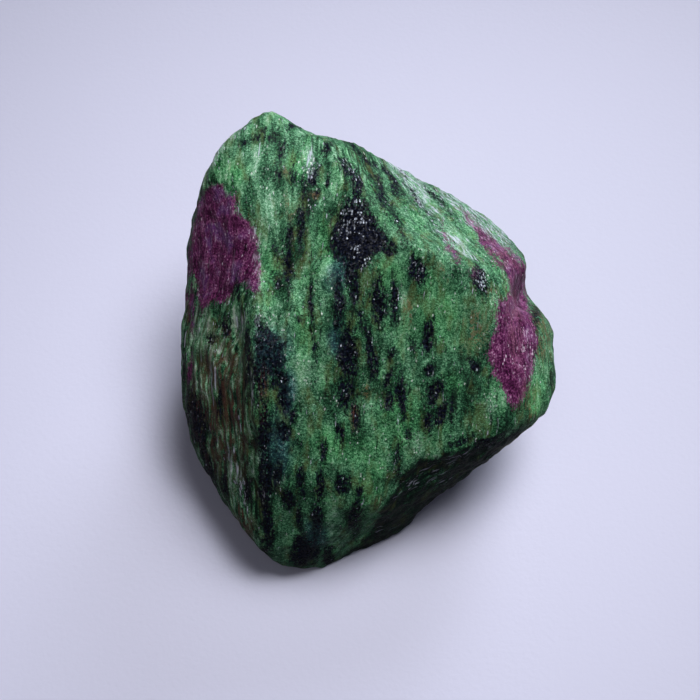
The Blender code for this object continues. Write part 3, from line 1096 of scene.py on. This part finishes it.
@dataclass(frozen=True)
class GreenZoisite:
    """Granular green zoisite, drawn out in streaks, with pale, vivid, dark and stained parts, and painted
    glints and sheen.

    Each rise gives the value from which a part shows, the value at which it is full, and its full
    strength where that isn't 1.
    """

    shadow: Colour = (0.003, 0.014, 0.008)
    deep: Colour = (0.022, 0.095, 0.046)
    middle: Colour = (0.078, 0.240, 0.124)
    bright: Colour = (0.200, 0.445, 0.268)
    pale: Colour = (0.400, 0.600, 0.470)
    # The palest grain, and the colour of the painted glints.
    white_and_glint: Colour = (0.740, 0.830, 0.790)
    # Colour of the pale fibres with their painted lavender sheen and highlights.
    frost_and_sheen: Colour = (0.700, 0.720, 0.900)
    vivid: Colour = (0.70, 1.05, 0.72)
    rust: Colour = (0.068, 0.028, 0.022)
    ochre: Colour = (0.160, 0.108, 0.052)
    olive: Colour = (0.130, 0.150, 0.045)
    teal: Colour = (0.016, 0.046, 0.062)
    teal_tint: Colour = (0.75, 0.80, 1.35)
    black: Colour = (0.004, 0.008, 0.009)
    fresh_rust: float = 2.6
    stops: tuple[float, ...] = (0.20, 0.38, 0.53, 0.68, 0.84, 0.98)
    cloud: Grain = Grain(0.30, 4.0, 0.60, (0.4, 1.0, 1.0))
    grain: Grain = Grain(2.0, 4.0, 0.65)
    fine: Grain = Grain(4.4, 2.0, 0.60)
    streak: DrawnGrain = DrawnGrain(1.35, 9.0, 4.0)
    band: Grain = Grain(0.85, 3.0, 0.60, (0.11, 0.6, 1.0))
    patch: Grain = Grain(0.42, 3.0, 0.55, (0.4, 1.0, 1.0))
    stain: Grain = Grain(1.20, 4.0, 0.65, (0.13, 0.8, 1.0))
    wisp: Grain = Grain(1.25, 5.0, 0.65, (0.14, 0.6, 1.0))
    glints: PaintedGlints = PaintedGlints(3.0, 3.0)
    vivid_rise: Triple = (0.50, 0.65, 0.50)
    olive_rise: Triple = (0.50, 0.68, 0.40)
    teal_rise: Triple = (0.60, 0.46, 0.85)
    patchy_rise: Triple = (0.45, 0.56, 0.90)
    fresh_rise: tuple[float, float] = (0.35, 0.70)
    wisp_rise: Triple = (0.62, 0.71, 0.80)
    glint_rise: tuple[float, float] = (1.1, 0.2)

    def tone(self, tray: Tray, given: object, noise: dict[str, Socket]) -> Socket:
        """Add up how light the rock is, about 0.5 for its middle green.

        Clouds and streaks count less on cut sheets, and streaks and bands more where the rock is slick.

        Args:
            tray: The group's tray.
            given: The group's inputs.
            noise: The noises named cloud, grain, fine and streak.

        Returns:
            The tone's socket.
        """
        band = tray.between(given["Sheets"], tray.noise(given["Fabric"], self.band), 0.5)
        parts = (
            (noise["cloud"], tray.add_up(0.80, (given["Sheets"], -0.48))),
            (noise["grain"], 0.90),
            (noise["fine"], 0.90),
            (noise["streak"], tray.add_up(0.36, (given["Slick"], 1.45), (given["Sheets"], -0.70))),
            (band, tray.times(given["Slick"], 1.3)),
        )
        uneven = [(tray.math("SUBTRACT", part, 0.5), share) for part, share in parts]
        # Dark lowers the tone, for dark rock and for painted shade on the undercut and on faces turned from
        # the light.
        kinds = (("Pale", 0.15), ("Vivid", 0.08), ("Slick", 0.02), ("Dark", -0.22))
        return tray.add_up(0.485, *uneven, *((given[name], amount) for name, amount in kinds))

    def tinted(self, tray: Tray, given: object, noise: dict[str, Socket], colour: Socket) -> Socket:
        """Make the rock's colour vivid, olive and teal in places."""
        vivid = tray.add_up(tray.rise(noise["cloud"], *self.vivid_rise), (given["Vivid"], 0.7))
        colour = tray.blend(vivid, colour, self.vivid, "MULTIPLY")
        olive = tray.rise(tray.noise(given["Fabric"], self.patch), *self.olive_rise)
        colour = tray.blend(olive, colour, self.olive)
        colour = tray.blend(given["Teal"], colour, self.teal_tint, "MULTIPLY")
        teal = tray.times(given["Teal"], tray.rise(noise["grain"], *self.teal_rise))
        return tray.blend(teal, colour, self.teal)

    def rusted(self, tray: Tray, given: object, noise: dict[str, Socket], colour: Socket) -> Socket:
        """Stain the rock's colour: ochre where it is granular, brown in two tones where it is slick."""
        bar = tray.add_up(0.47, (given["Rust"], -0.04))
        stain = tray.rise(tray.noise(given["Fabric"], self.stain), bar, tray.math("ADD", bar, 0.10))
        patchy = tray.add_up(tray.rise(noise["grain"], *self.patchy_rise), (given["Slick"], 0.7))
        rust = tray.times(tray.times(given["Rust"], stain), tray.math("MINIMUM", patchy, 0.80))
        fresh = tuple(part * self.fresh_rust for part in self.rust)
        brown = tray.blend(tray.rise(noise["fine"], *self.fresh_rise), self.rust, fresh)
        return tray.blend(rust, colour, tray.blend(given["Slick"], self.ochre, brown))

    def paint_glints(self, tray: Tray, given: object, colour: Socket) -> Socket:
        """Scatter painted glints, white specks laid into the rock's colour, fewer where it is dark or
        slick.
        """
        amount = tray.add_up(0.04, (given["Glitter"], 0.38), (given["Pale"], 0.08))
        dull = tray.math("MAXIMUM", given["Dark"], given["Slick"])
        amount = tray.times(amount, tray.rise(dull, *self.glint_rise))
        return tray.blend(self.glints.mask(tray, given["Fabric"], amount), colour, self.white_and_glint)

    def group(self) -> bpy.types.NodeTree:
        """Build the finish as a node group with a colour, a roughness and a height."""
        tray, given, taken = new_group("green_zoisite", (
            "Fabric", "Ledge Fabric", "Place", "Pale", "Vivid", "Rust", "Teal", "Slick", "Glitter",
            "Dark", "Lines", "Sheets", "Ledges",
        ), FINISH)
        noise = {
            "cloud": tray.noise(given["Fabric"], self.cloud),
            "grain": tray.noise(given["Place"], self.grain),
            "fine": tray.noise(given["Place"], self.fine),
            "streak": self.streak.noise(tray, given),
        }
        colours = (self.shadow, self.deep, self.middle, self.bright, self.pale, self.white_and_glint)
        colour = tray.ramp(self.tone(tray, given, noise), self.stops, colours)
        colour = self.tinted(tray, given, noise, colour)
        colour = self.rusted(tray, given, noise, colour)
        # Black wisps, more of them where Dark is high, so that they deepen the painted shade too.
        wisp = tray.noise(given["Fabric"], self.wisp)
        wisp = tray.add_up(wisp, (given["Dark"], 0.13), (given["Pale"], -0.06))
        colour = tray.blend(tray.rise(wisp, *self.wisp_rise), colour, self.black)
        # Fibre lines and their haze in pale lavender: pale fibres, painted sheen and painted highlights.
        colour = tray.blend(tray.times(given["Lines"], 0.68), colour, self.frost_and_sheen)
        tray.put(taken["Colour"], self.paint_glints(tray, given, colour))
        tray.put(taken["Roughness"], tray.add_up(0.36, (noise["grain"], 0.30), (given["Slick"], -0.08)))
        bumps = tray.times(tray.between(given["Slick"], noise["grain"], noise["streak"]), 0.9)
        tray.put(taken["Height"], tray.add_up(bumps, (given["Lines"], 0.35)))
        return tray.tree


@dataclass(frozen=True)
class PurpleRuby:
    """Fibrous purple ruby with pinkish fibres, painted glints and a painted bluish sheen."""

    shadow: Colour = (0.014, 0.002, 0.011)
    deep: Colour = (0.058, 0.008, 0.044)
    middle: Colour = (0.150, 0.027, 0.112)
    bright: Colour = (0.310, 0.105, 0.235)
    fibrous: Colour = (0.560, 0.420, 0.580)
    pink: Colour = (0.250, 0.110, 0.140)
    # Colour of the painted sheen.
    bluish: Colour = (0.095, 0.045, 0.215)
    # Colour of the painted glints.
    shine: Colour = (0.850, 0.700, 0.850)
    stops: tuple[float, ...] = (0.22, 0.40, 0.58, 0.76, 0.95)
    fibre: Grain = Grain(2.0, 4.0, 0.65, (0.10, 0.8, 1.0))
    grain: Grain = Grain(2.6, 3.0, 0.60)
    cloud: Grain = Grain(0.30)
    cluster: Grain = Grain(0.5, 2.0)
    glints: PaintedGlints = PaintedGlints(2.5, 1.6)
    sheen_rise: tuple[float, float] = (0.50, 0.66)
    pink_rise: Triple = (0.36, 0.62, 0.45)
    cluster_rise: tuple[float, float] = (0.42, 0.58)

    def group(self) -> bpy.types.NodeTree:
        """Build the finish as a node group with a colour, a roughness and a height."""
        inputs = ("Fabric", "Place", "Glitter", "Lines", "Vivid", "Slick")
        tray, given, taken = new_group("purple_ruby", inputs, FINISH)
        fibre = tray.noise(given["Fabric"], self.fibre)
        grain, cloud = tray.noise(given["Place"], self.grain), tray.noise(given["Place"], self.cloud)
        shares = ((fibre, 1.00), (grain, 1.25), (cloud, 0.9))
        tone = tray.add_up(0.555, *((tray.math("SUBTRACT", noise, 0.5), share) for noise, share in shares))
        colours = (self.shadow, self.deep, self.middle, self.bright, self.fibrous)
        colour = tray.ramp(tone, self.stops, colours)
        # Painted sheen: a bluish reflection laid into the colour where the ruby is slick.
        sheen = tray.rise(cloud, *self.sheen_rise, tray.times(given["Slick"], 0.55))
        colour = tray.blend(sheen, colour, self.bluish)
        pink = tray.times(given["Vivid"], tray.rise(fibre, *self.pink_rise))
        colour = tray.blend(pink, colour, self.pink)
        # Fibre lines in pale lilac, partly painted highlights and sheen.
        colour = tray.blend(tray.times(given["Lines"], 0.55), colour, self.fibrous)
        # Painted glints, gathered in clusters where Glitter is high.
        cluster = tray.rise(tray.noise(given["Place"], self.cluster), *self.cluster_rise)
        amount = tray.add_up(0.04, (tray.times(given["Glitter"], cluster), 0.62))
        painted_glint_mask = self.glints.mask(tray, given["Fabric"], amount)
        tray.put(taken["Colour"], tray.blend(painted_glint_mask, colour, self.shine))
        tray.put(taken["Roughness"], tray.add_up(0.26, (grain, 0.30)))
        tray.put(taken["Height"], tray.add_up(tray.times(grain, 0.6), (fibre, 0.9)))
        return tray.tree


@dataclass(frozen=True)
class BlackHornblende:
    """Black hornblende in small crystals, with painted glints and a partly painted dim reflection on their
    faces.
    """

    pit: Colour = (0.0012, 0.0016, 0.0040)
    # Lighter tone of the crystals, partly a painted dim bluish reflection on their faces.
    face: Colour = (0.008, 0.011, 0.030)
    # Colour of the painted glints.
    shine: Colour = (0.72, 0.80, 0.95)
    bluish: Colour = (0.018, 0.045, 0.058)
    rusty: Colour = (0.075, 0.030, 0.026)
    grain: Grain = Grain(2.4)
    patch: Grain = Grain(0.9)
    fibre: Grain = Grain(2.2, 2.0, 0.55, (0.07, 1.0, 1.0))
    cluster: Grain = Grain(0.55)
    glints: PaintedGlints = PaintedGlints(2.6, 1.1)
    face_rise: tuple[float, float] = (0.40, 0.70)
    patch_rise: Triple = (0.52, 0.62, 0.80)
    rust_rise: Triple = (0.52, 0.60, 0.80)
    cluster_rise: tuple[float, float] = (0.48, 0.62)
    smooth_rise: tuple[float, float] = (0.84, 0.88)
    dull: float = 0.48
    smooth: float = 0.10

    def group(self) -> bpy.types.NodeTree:
        """Build the finish as a node group with a colour, a roughness and a height."""
        inputs = ("Fabric", "Place", "Teal", "Glitter", "Rust")
        tray, given, taken = new_group("black_hornblende", inputs, FINISH)
        flake = tray.cells(given["Place"], CRYSTALS_PER_MM)
        pick = tray.node("ShaderNodeSeparateColor", {}, flake.outputs["Color"]).outputs[1]
        grain = tray.noise(given["Place"], self.grain)
        # Grain picks between the black pits and the lighter faces, which are partly a painted reflection.
        colour = tray.blend(tray.rise(grain, *self.face_rise), self.pit, self.face)
        patch = tray.rise(tray.noise(given["Place"], self.patch), *self.patch_rise)
        colour = tray.blend(tray.times(given["Teal"], patch), colour, self.bluish)
        rust = tray.rise(tray.noise(given["Fabric"], self.fibre), *self.rust_rise)
        colour = tray.blend(tray.times(given["Rust"], rust), colour, self.rusty)
        # Painted glints, gathered in clusters and where Glitter is high.
        cluster = tray.add_up(tray.noise(given["Place"], self.cluster), (given["Glitter"], 0.13))
        cluster = tray.rise(cluster, *self.cluster_rise)
        amount = tray.times(tray.add_up(0.09, (given["Glitter"], 0.50)), cluster)
        painted_glint_mask = self.glints.mask(tray, given["Fabric"], amount)
        tray.put(taken["Colour"], tray.blend(painted_glint_mask, colour, self.shine))
        smooth = tray.rise(pick, *self.smooth_rise)
        tray.put(taken["Roughness"], tray.between(smooth, self.dull, self.smooth))
        tray.put(taken["Height"], tray.times(grain, 0.5))
        return tray.tree


@dataclass(frozen=True)
class CrystalFacets:
    """Small flat crystal faces that each catch the light their own way."""

    def group(self) -> bpy.types.NodeTree:
        """Build a node group that tilts the normal of every crystal by its own random amount."""
        tray, given, taken = new_group("crystal_facets", ("Place", "Scale", "Tilt"), ("Normal",))
        flake = tray.cells(given["Place"], given["Scale"])
        lean = tray.vector("SUBTRACT", flake.outputs["Color"], (0.5, 0.5, 0.5))
        lean = tray.vector("SCALE", lean, Scale=given["Tilt"])
        normal = tray.node("ShaderNodeNewGeometry", {}).outputs["Normal"]
        tray.put(taken["Normal"], tray.vector("NORMALIZE", tray.vector("ADD", normal, lean)))
        return tray.tree


@dataclass(frozen=True)
class MineralEdge:
    """The ragged edge of one mineral: feathered along the grain, strays beyond it, holes inside it.

    Attributes:
        name: The group's name.
        ragged_mm: How far the grains push the edge in or out.
        feather_mm: How far the drawn-out grains push it.
        stray_mm: How far beyond the edge strays lie.
        hole_mm: How deep inside the edge holes lie.
        blur_mm: Half the width over which the edge fades.
        grain: Noise of the grains.
        drawn: Noise of the drawn-out grains.
        speck: Noise of the strays and holes.
        stray_rise: Values of the noise at which a stray begins and is full, and its strength.
        stray_fall: How fast strays grow rarer outwards, over stray_mm.
        hole_rise: Values of the noise at which a hole begins and is full, and its strength.
    """

    name: str
    ragged_mm: float
    feather_mm: float
    stray_mm: float
    hole_mm: float
    blur_mm: float = 0.3
    grain: Grain = Grain(1.7, 4.0, 0.70)
    drawn: Grain = Grain(1.7, 3.0, 0.65, (0.22, 1.0, 1.0))
    speck: Grain = Grain(2.6, 3.0, 0.60, (0.45, 1.0, 1.0))
    stray_rise: Triple = (0.53, 0.58, 0.85)
    stray_fall: float = 0.20
    hole_rise: Triple = (0.46, 0.40, 0.65)

    def group(self) -> bpy.types.NodeTree:
        """Build a node group that turns a depth in mm into a 0 to 1 mask."""
        tray, given, taken = new_group(self.name, ("Fabric", "Place", "Depth"), ("Mask",))
        grain = tray.math("SUBTRACT", tray.noise(given["Place"], self.grain), 0.5)
        feather = tray.math("SUBTRACT", tray.noise(given["Fabric"], self.drawn), 0.5)
        depth = tray.add_up(given["Depth"], (grain, self.ragged_mm), (feather, self.feather_mm))
        speck = tray.noise(given["Fabric"], self.speck)
        shallow = tray.rise(given["Depth"], self.hole_mm, self.hole_mm * 0.2)
        holes = tray.times(shallow, tray.rise(speck, *self.hole_rise))
        body = tray.times(tray.rise(depth, -self.blur_mm, self.blur_mm), tray.math("SUBTRACT", 1.0, holes))
        strays = tray.add_up(speck, (given["Depth"], self.stray_fall / self.stray_mm))
        near = tray.rise(given["Depth"], -self.stray_mm, -self.stray_mm * 0.5)
        strays = tray.times(tray.rise(strays, *self.stray_rise), near)
        tray.put(taken["Mask"], tray.math("MAXIMUM", body, strays))
        return tray.tree


@dataclass(frozen=True)
class RockMaterial:
    """The whole rock: zoisite, ruby and hornblende put together by the skin's fields.

    Attributes:
        halo: Hornblende depths in mm between which the green darkens towards it, and how much.
        bump_mm: Height of the bumps.
        bump_strength: How strongly they bend the light.
        tilt: How far crystal faces tilt, and what hornblende and glitter add to that.
        shine: Specular level.
        bending: Index of refraction of zoisite.
    """

    zoisite: GreenZoisite = GreenZoisite()
    ruby: PurpleRuby = PurpleRuby()
    hornblende: BlackHornblende = BlackHornblende()
    facets: CrystalFacets = CrystalFacets()
    lines: FibreLines = FibreLines()
    ruby_edge: MineralEdge = MineralEdge("ruby_edge", 1.7, 1.4, 2.0, 1.0)
    black_edge: MineralEdge = MineralEdge("hornblende_edge", 1.5, 1.9, 1.6, 1.8)
    halo: Triple = (-1.2, 0.1, 0.5)
    bump_mm: float = 0.28
    bump_strength: float = 0.8
    tilt: Triple = (0.30, 0.75, 0.25)
    shine: float = 0.07
    bending: float = 1.69

    def place_group(self, tray: Tray, tree: bpy.types.NodeTree, values: dict[str, object]) -> object:
        """Add a group node and give each of its inputs the value of the same name.

        Args:
            tray: The material's tray.
            tree: The group.
            values: Socket or plain value for each input name, and for others too.

        Returns:
            The group node's outputs.
        """
        made = tray.node("ShaderNodeGroup", {"node_tree": tree})
        for socket in made.inputs:
            tray.put(socket, values[socket.name])
        return made.outputs

    def skin_values(self, tray: Tray) -> dict[str, object]:
        """Read the place in mm, the grain's axes and every mineral's field, by input name."""
        values: dict[str, object] = {
            mineral.name.title(): tray.attribute(mineral.value) for mineral in Mineral
        }
        place = tray.node("ShaderNodeTexCoord", {}).outputs["Object"]
        values["Place"] = tray.vector("MULTIPLY", place, (1.0 / MM,) * 3)
        values["Fabric"] = tray.attribute("rock_fabric", "Vector")
        values["Ledge Fabric"] = tray.attribute("ledge_fabric", "Vector")
        values["Scale"] = CRYSTALS_PER_MM
        return values

    def build(self) -> bpy.types.Material:
        """Build the rock material.

        Returns:
            The finished material.
        """
        material = bpy.data.materials.new("ruby_in_zoisite_rock")
        material.use_nodes = True
        tray = Tray(material.node_tree)
        shader = material.node_tree.nodes["Principled BSDF"]
        values = self.skin_values(tray)
        ruby, hornblende = values["Ruby"], values["Hornblende"]
        values["Dark"] = tray.math("MAXIMUM", values["Dark"], tray.rise(hornblende, *self.halo))
        values["Lines"] = self.place_group(tray, self.lines.group(), values)["Mask"]
        green, purple, black = (
            self.place_group(tray, finish.group(), values)
            for finish in (self.zoisite, self.ruby, self.hornblende)
        )
        is_ruby, is_black = (
            self.place_group(tray, edge.group(), {**values, "Depth": depth})["Mask"]
            for edge, depth in ((self.ruby_edge, ruby), (self.black_edge, hornblende))
        )
        colour = tray.blend(is_ruby, green["Colour"], purple["Colour"])
        tray.put(shader.inputs["Base Color"], tray.blend(is_black, colour, black["Colour"]))
        rough, height = (
            tray.between(is_black, tray.between(is_ruby, green[name], purple[name]), black[name])
            for name in ("Roughness", "Height")
        )
        tray.put(shader.inputs["Roughness"], rough)
        tilt, black_tilt, glitter_tilt = self.tilt
        values["Tilt"] = tray.add_up(tilt, (is_black, black_tilt), (values["Glitter"], glitter_tilt))
        facets = self.place_group(tray, self.facets.group(), values)
        bump = tray.node("ShaderNodeBump", {}, Strength=self.bump_strength, Distance=self.bump_mm * MM,
                         Height=height, Normal=facets["Normal"])
        tray.put(shader.inputs["Normal"], bump.outputs["Normal"])
        shader.inputs["IOR"].default_value = self.bending
        shader.inputs["Specular IOR Level"].default_value = self.shine
        return material


@dataclass
class StoneSkin:
    """The stone's fine skin, which stands for the plain CAD stone.

    Attributes:
        form: The stone's form.
        fabric: The rock's grain.
        cells: Squares along each side of the six patches that the skin is made of.
        weld: Distance within which two points of a ball of radius 1 are the same.
        relief: Grains of a few sizes.
        ridge_height: Height of the drawn-out ridges in mm.
        ridge_size: Their size in mm along each of the grain's axes.
        ridge_seed: Seed of the ridges.
        ridge_least: Part of the height that ridges keep where the rock isn't slick.
        ledge_height: Depth of the small broken ledges in mm.
        ledge_size: Their size in mm along each of the grain's axes.
        ledge_seed: Seed of the ledges.
        ledge_loss: Part of their depth that ledges lose where the rock is slick.
    """

    form: StoneForm
    fabric: RockFabric
    cells: int = 127
    weld: float = 1.0e-6
    relief: tuple[Unevenness, ...] = (Unevenness(0.50, 3.4, 61), Unevenness(0.22, 1.4, 63))
    ridge_height: float = 0.45
    ridge_size: Triple = (13.0, 1.5, 1.5)
    ridge_seed: int = 65
    ridge_least: float = 0.35
    ledge_height: float = 0.80
    ledge_size: Triple = (9.0, 4.0, 4.0)
    ledge_seed: int = 67
    ledge_loss: float = 0.6

    def directions(self) -> tuple[Array, Array]:
        """Spread directions evenly over a ball and join them by squares.

        A point (a, b) on each of a cube's six sides, with a and b from -45 to 45 degrees, gives the
        direction (1, tan a, tan b), turned to its side. Points that two sides share are welded.

        Returns:
            The unit directions, and four corner numbers for each square, outward.
        """
        slope = np.tan(np.linspace(-1.0, 1.0, self.cells + 1) * math.pi / 4.0)
        first, second = np.meshgrid(slope, slope, indexing="ij")
        sides = []
        for axis, sign in itertools.product(range(3), (1.0, -1.0)):
            side = np.empty(first.shape + (3,))
            side[..., axis] = sign
            side[..., (axis + 1) % 3] = first * sign
            side[..., (axis + 2) % 3] = second
            sides.append(side.reshape(-1, 3))
        points = np.concatenate(sides)
        points /= np.linalg.norm(points, axis=1, keepdims=True)
        number = np.arange((self.cells + 1) ** 2).reshape(self.cells + 1, self.cells + 1)
        square = np.stack([number[:-1, :-1], number[1:, :-1], number[1:, 1:], number[:-1, 1:]], axis=-1)
        squares = np.concatenate([square.reshape(-1, 4) + side * number.size for side in range(6)])
        keys = np.round(points / self.weld).astype(np.int64)
        _, kept, new_number = np.unique(keys, axis=0, return_index=True, return_inverse=True)
        return points[kept], new_number.reshape(-1)[squares]

    def fine_surface(self, directions: Array) -> tuple[Array, dict[str, Array]]:
        """Add fine relief to the broken surface and cut it level at the base.

        Grains of a few sizes, drawn-out ridges on slick faces and small broken ledges elsewhere
        are added along each direction. A point below the base slides up its direction to the base.

        Args:
            directions: Unit directions from the heart, one row each.

        Returns:
            The points in mm, and how slick and dark the surface is and which way it faces at each.
        """
        points, manner = self.form.broken_surface(directions)
        slick = manner["slick"]
        fabric = self.fabric.coordinates(points)
        ridges = lattice_noise(fabric / np.array(self.ridge_size), self.ridge_seed)
        ledges = np.abs(lattice_noise(fabric / np.array(self.ledge_size), self.ledge_seed))
        lift = sum(layer.lift(points) for layer in self.relief)
        lift = lift + self.ridge_height * (self.ridge_least + slick) * ridges
        lift = lift - self.ledge_height * (1.0 - self.ledge_loss * slick) * ledges
        points = points + directions * lift[:, None]
        depth = -(points @ layout_axes())[:, 2]
        slide = np.minimum(1.0, self.form.base_depth / np.maximum(depth, self.weld))
        return points * slide[:, None], manner

    def store(self, mesh: bpy.types.Mesh, name: str, values: Array) -> None:
        """Store plain values, or vectors where there are three columns, on the mesh's vertices."""
        kind, part = ("FLOAT_VECTOR", "vector") if values.ndim == 2 else ("FLOAT", "value")
        layer = mesh.attributes.new(name, kind, "POINT")
        layer.data.foreach_set(part, values.astype(np.float32).ravel())

    def build(self, minerals: MineralMap) -> tuple[bpy.types.Object, Vector]:
        """Make the skin's mesh, with every field on its vertices.

        Args:
            minerals: Where each mineral lies.

        Returns:
            The skin, and the place of the stone's heart in metres.
        """
        directions, squares = self.directions()
        points, manner = self.fine_surface(directions)
        places = points @ layout_axes() * MM
        low, high = (np.array(corner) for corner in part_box(STONE_NODE))
        shift = (low + high) / 2.0 - (places.min(axis=0) + places.max(axis=0)) / 2.0
        shift[2] = low[2] - places[:, 2].min()
        mesh = bpy.data.meshes.new("ruby_in_zoisite")
        mesh.from_pydata((places + shift).tolist(), [], squares.tolist())
        mesh.shade_smooth()
        for mineral, values in minerals.fields(points, manner).items():
            self.store(mesh, mineral.value, values)
        self.store(mesh, "rock_fabric", self.fabric.coordinates(points))
        self.store(mesh, "ledge_fabric", self.fabric.ledge_coordinates(points))
        skin = bpy.data.objects.new("ruby_in_zoisite", mesh)
        bpy.context.scene.collection.objects.link(skin)
        return skin, Vector(shift)


@dataclass(frozen=True)
class Lamp:
    """A square soft light that faces the heart.

    Attributes:
        name: The light's name.
        place: Distances in mm across, along and out from the heart.
        size: Width of its square in metres.
        power: Power in watts.
        colour: Its colour.
    """

    name: str
    place: Triple
    size: float
    power: float
    colour: Colour


@dataclass
class Studio:
    """A pale floor, soft lights and the camera.

    Attributes:
        heart: Place of the stone's heart.
        floor_width: Width of the floor in metres.
        floor_colour: The floor's colour as the camera sees it.
        floor_shade: The same for its darker grain, as a part of that colour.
        floor_bounce: How much of its colour the floor throws back at the stone.
        floor_grain: Noise of the floor's grain, for each metre.
        floor_bump: Height of that grain in metres.
        floor_rough: The floor's roughness.
        lamps: The soft lights.
        lamp_up: Direction of the lamps' upper side.
        beam_deg: How wide the lamps' beams spread.
        nearest: Nearest distance in metres that the camera sees.
        world_colour: Colour of the light from all round.
        world_strength: Its strength.
    """

    heart: Vector
    floor_width: float = 6.0
    floor_colour: Colour = (0.63, 0.64, 0.82)
    floor_shade: float = 0.985
    floor_bounce: float = 0.22
    floor_grain: Grain = Grain(900.0)
    floor_bump: float = 0.00004
    floor_rough: float = 0.65
    lamps: tuple[Lamp, ...] = (
        Lamp("overhead_softbox", (130.0, 300.0, 320.0), 0.30, 0.26, (1.0, 0.99, 0.98)),
        Lamp("front_fill", (-80.0, 60.0, 450.0), 0.40, 0.028, (0.95, 0.97, 1.0)),
        Lamp("warm_bounce", (-350.0, -50.0, 220.0), 0.30, 0.010, (1.0, 0.72, 0.60)),
        Lamp("back_softbox", (350.0, 850.0, 60.0), 0.40, 0.30, (0.93, 0.95, 1.0)),
    )
    lamp_up: Triple = (0.3, 1.0, 0.2)
    beam_deg: float = 40.0
    nearest: float = 0.01
    world_colour: Colour = (0.80, 0.82, 1.0)
    world_strength: float = 0.05

    def stand(self, name: str, data: object, place: Triple, up: Vector) -> bpy.types.Object:
        """Put a light or camera in the scene, facing the heart.

        Args:
            name: Its name.
            data: The light's or camera's settings.
            place: Distances in mm across, along and out from the heart.
            up: The direction of its upper side.

        Returns:
            The object.
        """
        thing = bpy.data.objects.new(name, data)
        bpy.context.scene.collection.objects.link(thing)
        spot = self.heart + Vector((np.array(place) @ layout_axes() * MM).tolist())
        back = (spot - self.heart).normalized()
        side = up.cross(back).normalized()
        turn = Matrix((side, back.cross(side), back)).transposed()
        thing.matrix_world = Matrix.Translation(spot) @ turn.to_4x4()
        return thing

    def camera(self) -> None:
        """Make the camera that looks at the front from SIGHT_MM away."""
        data = bpy.data.cameras.new("camera")
        data.sensor_width = SENSOR_MM
        data.lens = SENSOR_MM * SIGHT_MM / VIEW_WIDTH_MM
        data.clip_start = self.nearest
        up = Vector(layout_axes()[1].tolist())
        bpy.context.scene.camera = self.stand("camera", data, (0.0, 0.0, SIGHT_MM), up)

    def light(self, lamp: Lamp) -> None:
        """Make one soft light."""
        data = bpy.data.lights.new(lamp.name, "AREA")
        data.shape = "SQUARE"
        data.size = lamp.size
        data.energy = lamp.power
        data.color = lamp.colour
        data.spread = math.radians(self.beam_deg)
        self.stand(lamp.name, data, lamp.place, Vector(self.lamp_up))

    def floor(self) -> None:
        """Make the pale floor that the stone lies on."""
        form = bmesh.new()
        bmesh.ops.create_grid(form, x_segments=8, y_segments=8, size=self.floor_width / 2.0)
        mesh = bpy.data.meshes.new("floor")
        form.to_mesh(mesh)
        form.free()
        mesh.materials.append(self.floor_material())
        floor = bpy.data.objects.new("floor", mesh)
        bpy.context.scene.collection.objects.link(floor)

    def floor_material(self) -> bpy.types.Material:
        """Smooth pale card with a faint grain."""
        material = bpy.data.materials.new("pale_card")
        material.use_nodes = True
        tray = Tray(material.node_tree)
        shader = material.node_tree.nodes["Principled BSDF"]
        grain = tray.noise(tray.node("ShaderNodeTexCoord", {}).outputs["Object"], self.floor_grain)
        darker = tuple(part * self.floor_shade for part in self.floor_colour)
        card = tray.blend(grain, self.floor_colour, darker)
        dim = tuple(part * self.floor_bounce for part in self.floor_colour)
        seen = tray.node("ShaderNodeLightPath", {}).outputs["Is Camera Ray"]
        tray.put(shader.inputs["Base Color"], tray.blend(seen, dim, card))
        bump = tray.node("ShaderNodeBump", {}, Distance=self.floor_bump, Height=grain)
        tray.put(shader.inputs["Normal"], bump.outputs["Normal"])
        shader.inputs["Roughness"].default_value = self.floor_rough
        return material

    def world(self) -> None:
        """Light the scene faintly from all round."""
        world = bpy.data.worlds.new("studio")
        world.use_nodes = True
        background = world.node_tree.nodes["Background"]
        background.inputs["Color"].default_value = (*self.world_colour, 1.0)
        background.inputs["Strength"].default_value = self.world_strength
        bpy.context.scene.world = world
        bpy.context.scene.view_settings.view_transform = "Standard"

    def build(self) -> None:
        """Make the floor, the lights and the camera."""
        self.floor()
        self.world()
        self.camera()
        for lamp in self.lamps:
            self.light(lamp)


def main() -> None:
    """Build the stone and its studio, and report each piece."""
    logging.basicConfig(level=logging.INFO, format="%(name)s: %(message)s")
    form, fabric = StoneForm(), RockFabric()
    skin, heart = StoneSkin(form, fabric).build(MineralMap(form, fabric))
    skin.data.materials.append(RockMaterial().build())
    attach(skin, "root")
    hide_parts(STONE_NODE)
    LOG.info("%s: %d faces, heart at %s", skin.name, len(skin.data.polygons), tuple(heart))
    Studio(heart).build()
    LOG.info("studio: floor, lights and camera")


if __name__ == "__main__":
    main()
